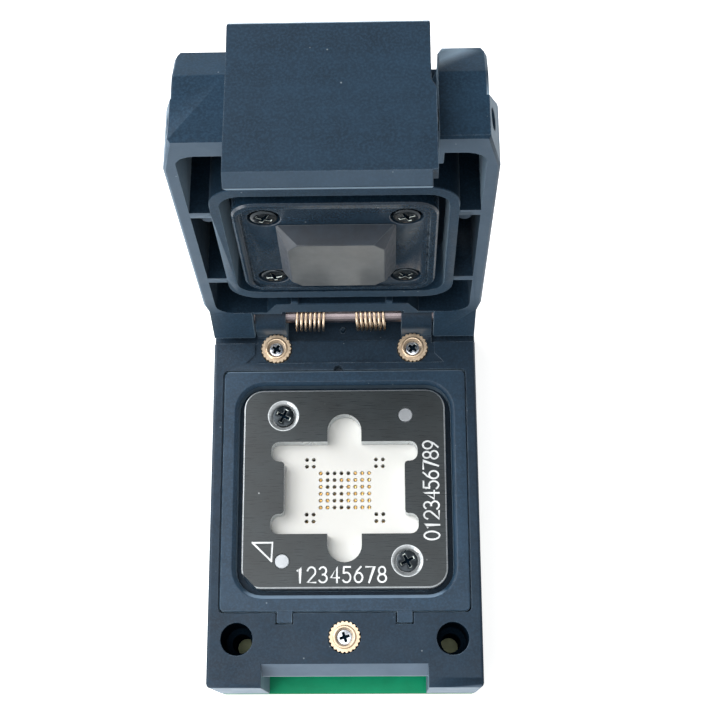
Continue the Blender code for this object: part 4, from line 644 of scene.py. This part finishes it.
def meshPiece(name, bm, look, body, sharpAngle=38):
    mesh = meshFrom(bm, name, look)
    if sharpAngle:
        mesh.shade_smooth()
        mesh.set_sharp_from_angle(angle=math.radians(sharpAngle))
    piece = bpy.data.objects.new(name, mesh)
    bpy.context.scene.collection.objects.link(piece)
    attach(piece, body)
    return piece


def circle(count, start=0.0):
    # cosine and sine at even steps
    angles = [start + 2 * math.pi * k / count for k in range(count)]
    return [(math.cos(a), math.sin(a)) for a in angles]


def addRing(bm, x, y, z, radius, count):
    return [bm.verts.new(point(x + radius * u, y + radius * v, z)) for u, v in circle(count)]


def joinRings(bm, rings, finish=0):
    for lower, upper in zip(rings, rings[1:]):
        for k in range(len(lower)):
            m = (k + 1) % len(lower)
            bm.faces.new((lower[k], lower[m], upper[m], upper[k])).material_index = finish


def closeEnds(bm, rings):
    bm.faces.new(rings[0])
    bm.faces.new(rings[-1])


def rimOf(bm, ring):
    return [bm.edges.get((ring[k - 1], ring[k])) for k in range(len(ring))]


def sweepWire(bm, path, radius, sides):
    # round wire along a path, ends closed
    normal = None
    rings = []
    for i, place in enumerate(path):
        ahead = (path[min(i + 1, len(path) - 1)] - path[max(i - 1, 0)]).normalized()
        if normal is None:
            normal = ahead.orthogonal().normalized()
        normal = (normal - ahead * normal.dot(ahead)).normalized()
        across = ahead.cross(normal)
        rings.append([bm.verts.new(place + radius * (u * normal + v * across)) for u, v in circle(sides)])
    joinRings(bm, rings)
    closeEnds(bm, rings)


# Moulded and machined edges: each solid is dressed with a copy whose edges are rounded

# solid: piece, look, body, slot and width of the rounding
roundedSolids = {
    "base_housing": ("baseHousing", "housing", "base", "black_plastic", 0.08),
    "lid_frame": ("lidFrame", "lid", "lid", "black_plastic", 0.12),
    "latch": ("latchBar", "latch", "latch", "black_plastic", 0.14),
    "cover_plate": ("coverPlate", "cover", "base", "black_plastic", 0.09),
    "pusher_plate": ("pusherPlate", "pusher", "pusher", "black_plastic", 0.10),
    "pressure_block": ("pressureFoot", "block", "pusher", "black_anodised", 0.08),
    "table_carrier": ("tableCarrier", "carrier", "table", "black_plastic", 0.08),
    "adapter_board": ("adapterBoard", "board", "base", "green_board", 0.05),
}

roundingSettings = {
    "weld": 0.002, "flatAngle": 0.6, "cornerAngle": 28, "broadAngle": 9, "broadWidth": 1.5,
    "straightAngle": 150, "room": 4, "segments": 3, "tries": 4, "foldedArea": 0.02, "foldClearance": 2.5,
    "sharpAngle": 34, "evenWeight": 80,
}


def bendAt(vert, first, second):
    a = first.other_vert(vert).co - vert.co
    return a.angle(second.other_vert(vert).co - vert.co)


def isBroad(face):
    return face.calc_area() > roundingSettings["broadWidth"] * mm * max(e.calc_length() for e in face.edges)


def isCorner(edge):
    # a clear bend, or a slight one between two broad faces
    s = roundingSettings
    bend = math.degrees(edge.calc_face_angle(0))
    return bend > s["cornerAngle"] or (bend > s["broadAngle"] and all(isBroad(f) for f in edge.link_faces))


def hasRoom(edge, room):
    # short edges that meet it at a corner would fold over each other
    straight = math.radians(roundingSettings["straightAngle"])
    for loop in edge.link_loops:
        before, after = loop.link_loop_prev, loop.link_loop_next
        for vert, other in ((loop.vert, before.edge), (after.vert, after.edge)):
            if bendAt(vert, edge, other) < straight and other.calc_length() < room:
                return False
    return True


def foldedCorners(bm):
    # corners of faces whose triangles cover more than the outline does
    mesh = bpy.data.meshes.new("foldTest")
    bm.to_mesh(mesh)
    mesh.calc_loop_triangles()
    covered = [0.0] * len(mesh.polygons)
    for triangle in mesh.loop_triangles:
        covered[triangle.polygon_index] += triangle.area
    corners = []
    for face in mesh.polygons:
        places = [mesh.vertices[i].co.copy() for i in face.vertices]
        outline = sum((places[i - 1].cross(places[i]) for i in range(len(places))), Vector()).length / 2
        if covered[face.index] - outline > roundingSettings["foldedArea"] * mm * mm:
            corners += places
    bpy.data.meshes.remove(mesh)
    return corners


def roundedCopy(nodeName, width, avoid):
    s = roundingSettings
    bm = bmesh.new()
    bm.from_mesh(nodes[nodeName].data)
    bmesh.ops.remove_doubles(bm, verts=bm.verts, dist=s["weld"] * mm)
    bmesh.ops.dissolve_limit(bm, angle_limit=math.radians(s["flatAngle"]), verts=bm.verts, edges=bm.edges)
    clearance = s["foldClearance"] * width
    chosen = [e for e in bm.edges if e.is_manifold and isCorner(e) and hasRoom(e, s["room"] * width)
              and not any((v.co - p).length < clearance for p in avoid for v in e.verts)]
    bmesh.ops.bevel(bm, geom=chosen, offset=width, offset_type="OFFSET", segments=s["segments"], profile=0.5,
                    affect="EDGES", clamp_overlap=False, loop_slide=True, miter_outer="SHARP")
    return bm


def roundSolid(nodeName, piece, look, body, slot, width):
    # rounded again without the edges that folded, and the copy with the fewest folds is kept
    s = roundingSettings
    copies = {}
    avoid = []
    for attempt in range(s["tries"]):
        bm = roundedCopy(nodeName, width * mm, avoid)
        folded = foldedCorners(bm)
        copies.setdefault(len(folded), bm)
        if not folded:
            break
        avoid += folded
    fewest = min(copies)
    rounded = meshPiece(piece, copies[fewest], look, body, s["sharpAngle"])
    even = rounded.modifiers.new("evenShade", "WEIGHTED_NORMAL")
    even.keep_sharp = True
    even.weight = s["evenWeight"]
    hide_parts(nodeName)
    print("rounded", piece, "folded corners left:", fewest)
    return rounded


dressed = {name: roundSolid(name, *settings) for name, settings in roundedSolids.items()}


boreSettings = {"radius": 1.9, "belowTop": 13.95}


def paintShadeInBores():
    # painted shade: the walls of the two mounting holes get a darker plastic, without sheen or the housing's
    # painted light
    s = boreSettings
    mesh = dressed["base_housing"].data
    mesh.materials.append(looks["bore"])
    for face in mesh.polygons:
        for x, y in mountHoles:
            away = math.hypot(face.center.x - x * mm, face.center.y - y * mm)
            if away < s["radius"] * mm and face.center.z < s["belowTop"] * mm:
                face.material_index = 1


pocketSettings = {"step": 0.05, "across": 13.0, "floorBelow": 1.2, "wallBelow": 0.1, "floorLean": 0.9,
                  "wallLean": 0.5}


def paintShadeInPockets():
    # painted shade: walls that face another wall of the lid, and the floors between them, get a darker
    # plastic with less sheen and no painted light
    s = pocketSettings
    mesh = dressed["lid_frame"].data
    mesh.materials.append(looks["pocket"])
    tree = BVHTree.FromPolygons([v.co for v in mesh.vertices], [list(p.vertices) for p in mesh.polygons])
    back = lidTurn.inverted()
    inward = lidTurn.to_3x3() @ Vector((0, 0, 1))
    changed = 0
    for face in mesh.polygons:
        below = (back @ face.center).z / mm + rimDrop
        lean = face.normal.dot(inward)
        opposite = tree.ray_cast(face.center + face.normal * s["step"] * mm, face.normal, s["across"] * mm)[0]
        isFloor = lean < -s["floorLean"] and below > s["floorBelow"]
        isWall = opposite is not None and abs(lean) < s["wallLean"] and below > s["wallBelow"]
        if isFloor or isWall:
            face.material_index = 1
            changed += 1
    print("pocket faces:", changed, "of", len(mesh.polygons))


paintShadeInBores()
paintShadeInPockets()


torsionSettings = {
    "radius": 1.93,
    "wire": 0.33,
    "pitch": 0.52,
    "turns": 7,
    "startAngle": -35,
    "footLeg": 2.65,
    "topLeg": 2.3,
    "stepsPerTurn": 36,
    "sides": 12,
    "springs": {"left": {"start": -5.85, "mirrored": True}, "right": {"start": 1.15, "mirrored": False}},
}


def makeTorsionSprings():
    # one leg down into the housing, one up behind the lid's wall
    s = torsionSettings
    steps = s["stepsPerTurn"] * s["turns"]
    first, last = math.radians(s["startAngle"]), 2 * math.pi * s["turns"]
    reach = s["pitch"] * s["turns"]
    radius = s["radius"]
    for side, spring in s["springs"].items():
        coil = []
        for i in range(steps + 1):
            angle = first + (last - first) * i / steps
            along = s["wire"] / 2 + reach * i / steps
            if spring["mirrored"]:
                along = s["wire"] + reach - along
            coil.append(Vector((spring["start"] + along, radius * math.cos(angle), radius * math.sin(angle))))
        foot = (coil[1] - coil[0]).normalized() * s["footLeg"]
        top = (coil[-1] - coil[-2]).normalized() * s["topLeg"]
        path = [coil[0] - foot, coil[0] - foot / 2] + coil + [coil[-1] + top / 2, coil[-1] + top]
        bm = bmesh.new()
        sweepWire(bm, [p * mm + hingePlace for p in path], s["wire"] / 2 * mm, s["sides"])
        piece = meshPiece("torsionCoil." + side, bm, "springCopper", "base")
        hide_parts("torsion_spring_" + side)


compressionSettings = {
    "wire": 0.3, "turns": 4.5, "deadTurns": 0.75, "deadPitch": 0.35, "stepsPerTurn": 28, "sides": 10,
    "table": {"body": "base", "joint": "table_slide", "travel": 0.5, "diameter": 2.2, "across": 10.35,
              "along": 10.2, "heights": (6.97, 10.63)},
    "latch": {"body": "lid", "joint": "latch_pivot", "travel": 0.95, "diameter": 2.2, "across": 5.0,
              "inward": 7.9, "ends": (36.64, 42.0)},
    "pusher": {"body": "lid", "joint": "pusher_slide", "travel": 0.9, "diameter": 2.5,
               "depths": (5.96, 2.43)},
}


def springPath(start, end, diameter):
    # closed and ground ends, even pitch between them
    s = compressionSettings
    wire = s["wire"] * mm
    axis = (end - start).normalized()
    side = axis.orthogonal().normalized()
    other = axis.cross(side)
    radius = (diameter * mm - wire) / 2
    dead = s["deadTurns"]
    pitch = ((end - start).length - wire) / (s["turns"] - 2 * dead + s["deadPitch"] * 2 * dead)
    path = []
    rise = wire / 2
    for i in range(int(s["turns"] * s["stepsPerTurn"]) + 1):
        turn = i / s["stepsPerTurn"]
        angle = 2 * math.pi * turn
        path.append(start + axis * rise + radius * (math.cos(angle) * side + math.sin(angle) * other))
        closed = turn < dead or turn >= s["turns"] - dead
        rise += pitch * (s["deadPitch"] if closed else 1.0) / s["stepsPerTurn"]
    return path


def makeCompressionSpring(kind, where, start, end):
    # start is the end that stays still while the joint shortens the spring
    s, own = compressionSettings, compressionSettings[kind]
    bm = bmesh.new()
    sweepWire(bm, springPath(start, end, own["diameter"]), s["wire"] / 2 * mm, s["sides"])
    spring = meshPiece(kind + "Coil." + ".".join(where), bm, "springSteel", own["body"])
    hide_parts(kind + "_spring_" + "_".join(where))
    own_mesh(spring)


def makeCompressionSprings():
    table, latch, pusher = (compressionSettings[kind] for kind in ("table", "latch", "pusher"))
    for side, hand in (("left", -1), ("right", 1)):
        for end, way in (("front", -1), ("rear", 1)):
            ends = [point(hand * table["across"], way * table["along"], z) for z in table["heights"]]
            makeCompressionSpring("table", (end, side), *ends)
    for side, hand in (("left", -1), ("right", 1)):
        ends = [lidPoint(hand * latch["across"], along, latch["inward"]) for along in latch["ends"]]
        makeCompressionSpring("latch", (side,), *ends)
    for side in ("left", "right"):
        for end in ("rear", "front"):
            x, along = placeOnLid(f"pusher_screw_{side}_{end}")
            makeCompressionSpring("pusher", (side, end), *(lidPoint(x, along, z) for z in pusher["depths"]))


makeTorsionSprings()
makeCompressionSprings()
print("springs wound")


# Index figures and the triangle, cut into the guide frame

engravingSettings = {
    "depth": 0.10,
    "width": 0.25,
    "triangleWidth": 0.26,
    "figureHeight": 1.72,
    "figureWidth": 0.92,
    "below": {"figures": "12345678", "start": (-5.5, -10.8), "pitch": 1.32, "turned": False},
    "beside": {"figures": "0123456789", "start": (10.72, -6.05), "pitch": 1.16, "turned": True},
    "triangle": ((-10.4, -6.3), (-8.15, -6.3), (-8.25, -8.38)),
}

grooveSettings = {"above": 0.05, "overrun": 0.4, "floorShare": 0.26, "sharpestBend": 0.55, "weld": 0.002}


def bow(cx, cy, rx, ry, start, end, steps=12):
    angles = [math.radians(start + (end - start) * i / steps) for i in range(steps + 1)]
    return [(cx + rx * math.cos(a), cy + ry * math.sin(a)) for a in angles]


figureStrokes = {
    "0": [bow(0.5, 0.5, 0.5, 0.5, 90, 455, 20)],
    "1": [[(0.22, 0.78), (0.55, 1.0), (0.55, 0.0)]],
    "2": [bow(0.5, 0.7, 0.48, 0.3, 165, -35) + [(0.02, 0.0), (1.0, 0.0)]],
    "3": [bow(0.45, 0.755, 0.42, 0.245, 150, -90, 10), bow(0.45, 0.26, 0.5, 0.26, 90, -150, 12)],
    "4": [[(0.74, 0.0), (0.74, 1.0), (0.0, 0.3), (1.0, 0.3)]],
    "5": [[(0.92, 1.0), (0.16, 1.0), (0.1, 0.56)] + bow(0.46, 0.32, 0.5, 0.32, 118, -145, 12)],
    "6": [[(0.78, 1.0), (0.3, 0.72)] + bow(0.5, 0.31, 0.48, 0.31, 160, 520, 18)],
    "7": [[(0.0, 1.0), (1.0, 1.0), (0.36, 0.0)]],
    "8": [bow(0.5, 0.755, 0.4, 0.245, -90, 275, 16), bow(0.5, 0.26, 0.5, 0.26, 90, 455, 18)],
    "9": [[(0.22, 0.0), (0.7, 0.28)] + bow(0.5, 0.69, 0.48, 0.31, -20, 340, 18)],
}


def addGroove(bm, path, width, top, bottom):
    # a tapered bar along a path, wider above
    s = grooveSettings
    low = width * s["floorShare"]
    shape = ((width / 2, top), (-width / 2, top), (-low, bottom), (low, bottom))
    last = len(path) - 1
    rings = []
    for i, place in enumerate(path):
        here = Vector(place)
        before, after = Vector(path[max(i - 1, 0)]), Vector(path[min(i + 1, last)])
        ahead = (after - before).normalized()
        side = Vector((-ahead.y, ahead.x))
        bend = 1.0
        if 0 < i < last:
            bend = 1 / max(s["sharpestBend"], ahead.dot((here - before).normalized()))
        elif i == 0:
            here = here - ahead * width * s["overrun"]
        else:
            here = here + ahead * width * s["overrun"]
        corners = [(here + side * half * bend, z) for half, z in shape]
        rings.append([bm.verts.new((flat.x, flat.y, z)) for flat, z in corners])
    joinRings(bm, rings)
    closeEnds(bm, rings)


def cutGrooves(plate, bm, name, look, body):
    # the hidden cutter leaves its own finish on the groove's walls
    cutter = bpy.data.objects.new(name + "Cutter", meshFrom(bm, name + "Cutter", look))
    bpy.context.scene.collection.objects.link(cutter)
    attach(cutter, body)
    cutter.hide_render = True
    cutter.display_type = "WIRE"
    groove = plate.modifiers.new(name, "BOOLEAN")
    groove.operation = "DIFFERENCE"
    groove.solver = "EXACT"
    groove.use_self = True
    groove.object = cutter
    groove.material_mode = "TRANSFER"


def figurePaths(line):
    # strokes of a line of figures, in mm
    s = engravingSettings
    x0, y0 = line["start"]
    for i, figure in enumerate(line["figures"]):
        for stroke in figureStrokes[figure]:
            path = [(line["pitch"] * i + u * s["figureWidth"], v * s["figureHeight"]) for u, v in stroke]
            if line["turned"]:
                path = [(-y, x) for x, y in path]
            yield [(x0 + x, y0 + y) for x, y in path]


def engraveGuideFrame():
    s = engravingSettings
    face = boxOf("guide_frame")[1].z
    top, bottom = (face + grooveSettings["above"]) * mm, (face - s["depth"]) * mm
    bm = bmesh.new()
    for line in (s["below"], s["beside"]):
        for path in figurePaths(line):
            addGroove(bm, [(x * mm, y * mm) for x, y in path], s["width"] * mm, top, bottom)
    a, b, c = s["triangle"]
    for side in ((a, b), (b, c), (c, a)):
        addGroove(bm, [(x * mm, y * mm) for x, y in side], s["triangleWidth"] * mm, top, bottom)
    plate = nodes["guide_frame"]
    plate.modifiers.new("weld", "WELD").merge_threshold = grooveSettings["weld"] * mm
    cutGrooves(plate, bm, "engraving", "engraving", "table")


plateGroove = {"halfWidth": 9.27, "low": 11.13, "high": 29.07, "corner": 1.1, "cornerSteps": 6, "width": 0.2,
               "depth": 0.14, "face": -1.48}


def groovePusherPlate():
    # fine groove around the plate's raised middle
    s = plateGroove
    middle = (s["low"] + s["high"]) / 2
    high = (s["high"] - s["low"]) / 2 - s["corner"]
    wide = s["halfWidth"] - s["corner"]
    path = []
    for k, (sx, sy) in enumerate(((1, 1), (-1, 1), (-1, -1), (1, -1))):
        for i in range(s["cornerSteps"] + 1):
            angle = math.pi / 2 * (k + i / s["cornerSteps"])
            x = sx * wide + s["corner"] * math.cos(angle)
            y = sy * high + s["corner"] * math.sin(angle)
            path.append((x, y - middle))
    bm = bmesh.new()
    addGroove(bm, path + path[:1], s["width"], s["face"] - grooveSettings["above"], s["face"] + s["depth"])
    bmesh.ops.transform(bm, matrix=lidTurn @ Matrix.Scale(mm, 4), verts=bm.verts)
    cutGrooves(dressed["pusher_plate"], bm, "plateGroove", "pusher", "pusher")


engraveGuideFrame()
groovePusherPlate()
print("guide frame and pusher plate engraved")


# Cross-recess screws; the board screws show only their ends in the inserts

screwSettings = {
    "frame": {"head": 1.22, "headHeight": 0.72, "shank": 0.73, "length": 4.0, "reach": 0.84, "blade": 0.16,
              "depth": 0.5, "crown": 0.10, "piece": "frameScrew.", "body": "table",
              "turns": {"rear_left": -28, "front_right": 28}},
    "pusher": {"head": 1.42, "headHeight": 1.02, "shank": 0.73, "length": 8.4, "reach": 0.85, "blade": 0.17,
               "depth": 0.55, "crown": 0.28, "piece": "plateScrew.", "body": "lid", "sink": -0.15,
               "turns": {"left_rear": 12, "right_rear": 40, "left_front": 63, "right_front": 25}},
    "end": {"head": 0.84, "headHeight": 0.40, "shank": 0.80, "length": 0.45, "reach": 0.60, "blade": 0.16,
            "depth": 0.34, "crown": 0.09, "piece": "screwEnd.", "body": "base", "top": 13.86,
            "turns": {"front": 18, "rear_left": -31, "rear_right": 52}},
}

screwShape = {"steps": 48, "tipRound": 0.1, "tipLength": 0.15, "crownRound": 0.3, "innerCorner": 1.15,
              "recessLip": (0.91, -0.05), "recessFloor": 0.8}


def screwProfile(s):
    # radius and height from the tip up to the rim of the head's top
    crown, eased = s["crown"], screwShape["crownRound"] * s["crown"]
    return [(s["shank"] - screwShape["tipRound"], -s["length"]),
            (s["shank"], screwShape["tipLength"] - s["length"]),
            (s["shank"], -s["headHeight"]), (s["head"], -s["headHeight"]),
            (s["head"], -crown), (s["head"] - eased, -eased), (s["head"] - crown, 0)]


def crossOutline(s):
    # the recess's twelve corners
    corner = s["blade"] * screwShape["innerCorner"]
    outline = []
    for k in range(4):
        quarter = Matrix.Rotation(math.pi / 2 * k, 4, "Z")
        for x, y in ((s["reach"], -s["blade"]), (s["reach"], s["blade"]), (corner, corner)):
            outline.append(quarter @ Vector((x, y, 0)))
    return outline


def makeScrew(kind, name, place, node=None):
    # built along z with the top of its head at 0, then turned and put in place
    s = screwSettings[kind]
    bm = bmesh.new()
    rings = [[bm.verts.new((radius * u, radius * v, z)) for u, v in circle(screwShape["steps"])]
             for radius, z in screwProfile(s)]
    joinRings(bm, rings)
    bm.faces.new(rings[0])
    levels = ((1.0, 0.0), screwShape["recessLip"], (screwShape["recessFloor"], -s["depth"]))
    walls = [[bm.verts.new((p.x * share, p.y * share, z)) for p in crossOutline(s)] for share, z in levels]
    # painted highlight: the lip band takes the brighter recess-edge metal
    joinRings(bm, walls[:2], 2)
    # painted shade: walls and floor of the recess take the dark recess plastic
    joinRings(bm, walls[1:], 1)
    bm.faces.new(walls[-1]).material_index = 1
    bmesh.ops.triangle_fill(bm, edges=rimOf(bm, rings[-1]) + rimOf(bm, walls[0]), use_beauty=True)
    turn = Matrix.Rotation(math.radians(s["turns"][name]), 4, "Z")
    bmesh.ops.transform(bm, matrix=place @ turn @ Matrix.Scale(mm, 4), verts=bm.verts)
    look, slot = ("screwSteel", "bright_steel") if kind == "end" else ("blackScrew", "black_oxide_steel")
    screw = meshPiece(s["piece"] + name, bm, look, s["body"])
    # slot 1 is the dark recess plastic as painted shade, slot 2 the brighter lip metal as painted highlight
    screw.data.materials.append(looks["recess"])
    screw.data.materials.append(looks["recessEdgeHighlight"])
    if node:
        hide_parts(node)


def makeScrews():
    sink, top = screwSettings["pusher"]["sink"], screwSettings["end"]["top"]
    for name in frameScrews:
        node = "frame_screw_" + name
        x, y, z = middleOf(node)
        makeScrew("frame", name, Matrix.Translation(point(x, y, boxOf(node)[1].z)), node)
    headDown = Matrix.Rotation(math.pi, 4, "X")
    for name in plateScrews:
        node = "pusher_screw_" + name
        x, along = placeOnLid(node)
        place = lidTurn @ Matrix.Translation(point(x, -along, sink - rimDrop)) @ headDown
        makeScrew("pusher", name, place, node)
    for name in inserts:
        x, y, z = middleOf("insert_" + name)
        makeScrew("end", name, Matrix.Translation(point(x, y, top)))


insertSettings = {
    "teeth": 22,
    "tooth": 0.15,
    "toothPower": 1.6,
    "stepsPerTooth": 8,
    "outside": ((1.70, 8.6), (1.775, 8.7), (1.775, 14.06), (1.74, 14.12)),
    "mouth": ((1.33, 14.12), (1.30, 14.15), (1.27, 14.25), (1.20, 14.31), (1.10, 14.32), (1.03, 14.29),
              (0.93, 14.10), (0.90, 14.0)),
    "thread": {"crest": 0.84, "root": 0.90, "top": 13.9, "bottom": 12.4, "pitch": 0.2},
    "foot": 8.6,
}


def makeInserts():
    # knurled outside, low collar, threaded bore
    s = insertSettings
    thread = s["thread"]
    inside = list(s["mouth"])
    z = thread["top"]
    while z > thread["bottom"]:
        inside += [(thread["crest"], z), (thread["root"], z - thread["pitch"] / 2)]
        z -= thread["pitch"]
    inside.append((thread["root"], s["foot"]))
    count = s["teeth"] * s["stepsPerTooth"]
    notches = [s["tooth"] * (0.5 - 0.5 * math.cos(2 * math.pi * k / s["stepsPerTooth"])) ** s["toothPower"]
               for k in range(count)]
    for name in inserts:
        x, y, z = middleOf("insert_" + name)
        bm = bmesh.new()
        rings = []
        for radius, z in s["outside"]:
            rings.append([bm.verts.new(point(x + (radius - notch) * u, y + (radius - notch) * v, z))
                          for notch, (u, v) in zip(notches, circle(count))])
        rings += [addRing(bm, x, y, z, radius, count) for radius, z in inside]
        joinRings(bm, rings + rings[:1])
        piece = meshPiece("threadInsert." + name, bm, "brass", "base")
        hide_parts("insert_" + name)


landSettings = {"radius": 1.6, "low": 1.553, "high": 1.59, "rounding": 0.01, "topShare": 0.97, "steps": 40}


def makeLands():
    # tinned discs that the mounting holes look down on
    s = landSettings
    bm = bmesh.new()
    for x, y in mountHoles:
        levels = ((s["low"], 1.0), (s["high"] - s["rounding"], 1.0), (s["high"], s["topShare"]))
        rings = [addRing(bm, x, y, z, s["radius"] * share, s["steps"]) for z, share in levels]
        joinRings(bm, rings)
        closeEnds(bm, rings)
    meshPiece("boardLands", bm, "tinned", "base")


probeSettings = {
    "pitch": 0.8, "rows": ("P....PPP", "P..PPPPP", "P...PPPP", "PP..PPPP", "PP..PPPP", "PP...PPP"),
    "radius": 0.15, "points": 4, "low": 12.252, "high": 12.35, "valley": 0.02, "middle": 0.015,
}


def addProbeCrown(bm, x, y):
    # points that bite into the chip's ball, round a shallow cup
    s = probeSettings
    count = 2 * s["points"]
    turn = random.uniform(0, math.pi / 2)
    heights = [s["high"], s["low"] + s["valley"]] * s["points"]
    rim = [bm.verts.new(point(x + s["radius"] * u, y + s["radius"] * v, z))
           for z, (u, v) in zip(heights, circle(count, turn))]
    foot = [bm.verts.new((v.co.x, v.co.y, s["low"] * mm)) for v in rim]
    middle = bm.verts.new(point(x, y, s["low"] + s["middle"]))
    for k in range(count):
        m = (k + 1) % count
        bm.faces.new((rim[k], rim[m], middle))
        bm.faces.new((foot[k], foot[m], rim[m], rim[k]))
    bm.faces.new(foot)


def makeProbeCrowns():
    s = probeSettings
    bm = bmesh.new()
    for r, row in enumerate(s["rows"]):
        for c, mark in enumerate(row):
            if mark == "P":
                x = (c - (len(row) - 1) / 2) * s["pitch"]
                y = ((len(s["rows"]) - 1) / 2 - r) * s["pitch"]
                addProbeCrown(bm, x, y)
    meshPiece("probeCrowns", bm, "gold", "base", 0)


makeScrews()
makeInserts()
makeLands()
makeProbeCrowns()
print("screws, inserts, lands and probe crowns made")


# Floor and studio light

stageSettings = {
    "floorSize": 1.2, "floorDrop": 0.0002, "floorColour": (0.86, 0.86, 0.86, 1), "floorRoughness": 0.8,
    "floorGlow": 0.74, "worldLevel": 0.14, "lampAim": (0, 0.005, 0.02),
}
lampSettings = {
    "overhead": {"place": (-0.02, -0.085, 0.38), "size": 0.20, "power": 0.46},
    "rearLeft": {"place": (-0.20, 0.09, 0.32), "size": 0.28, "power": 1.15},
    "leftHigh": {"place": (-0.28, -0.02, 0.22), "size": 0.24, "power": 0.28},
    "leftBack": {"place": (-0.32, 0.16, 0.10), "size": 0.16, "power": 0.70},
    "frontLeft": {"place": (-0.28, -0.26, 0.07), "size": 0.22, "power": 0.80},
}


def seenDirectly(tree):
    # 1 for camera, glossy and clear rays, which then meet plain white
    path = tree.nodes.new("ShaderNodeLightPath")
    seen = combine(tree, "MAXIMUM", path.outputs["Is Camera Ray"], path.outputs["Is Glossy Ray"])
    return combine(tree, "MAXIMUM", seen, path.outputs["Is Transmission Ray"])


def makeFloor():
    s = stageSettings
    bm = bmesh.new()
    bmesh.ops.create_grid(bm, x_segments=1, y_segments=1, size=s["floorSize"])
    mesh = bpy.data.meshes.new("paleFloor")
    bm.to_mesh(mesh)
    bm.free()
    floor = bpy.data.objects.new("paleFloor", mesh)
    bpy.context.scene.collection.objects.link(floor)
    floor.location.z = -s["floorDrop"]
    material, tree = newMaterial("paleFloor")
    mesh.materials.append(finished(material, {
        "Base Color": s["floorColour"],
        "Roughness": s["floorRoughness"],
        "Specular IOR Level": 0.0,
        "Emission Color": (1, 1, 1, 1),
        "Emission Strength": times(tree, seenDirectly(tree), s["floorGlow"]),
    }))


def makeRoom():
    world = bpy.data.worlds.new("paleRoom")
    world.use_nodes = True
    tree = world.node_tree
    background = tree.nodes["Background"]
    background.inputs["Color"].default_value = (1, 1, 1, 1)
    level = ramp(tree, seenDirectly(tree), 0.0, 1.0, stageSettings["worldLevel"], 1.0)
    tree.links.new(level, background.inputs["Strength"])
    bpy.context.scene.world = world


def addLamps():
    for name, s in lampSettings.items():
        data = bpy.data.lights.new(name, "AREA")
        data.shape = "SQUARE"
        data.size = s["size"]
        data.energy = s["power"]
        lamp = bpy.data.objects.new(name, data)
        lamp.location = s["place"]
        lamp.visible_camera = False
        lamp.rotation_mode = "QUATERNION"
        aim = Vector(stageSettings["lampAim"]) - lamp.location
        lamp.rotation_quaternion = aim.to_track_quat("-Z", "Y")
        bpy.context.scene.collection.objects.link(lamp)


makeFloor()
makeRoom()
addLamps()
print("floor and lights placed")

bpy.context.scene.view_settings.view_transform = "Standard"
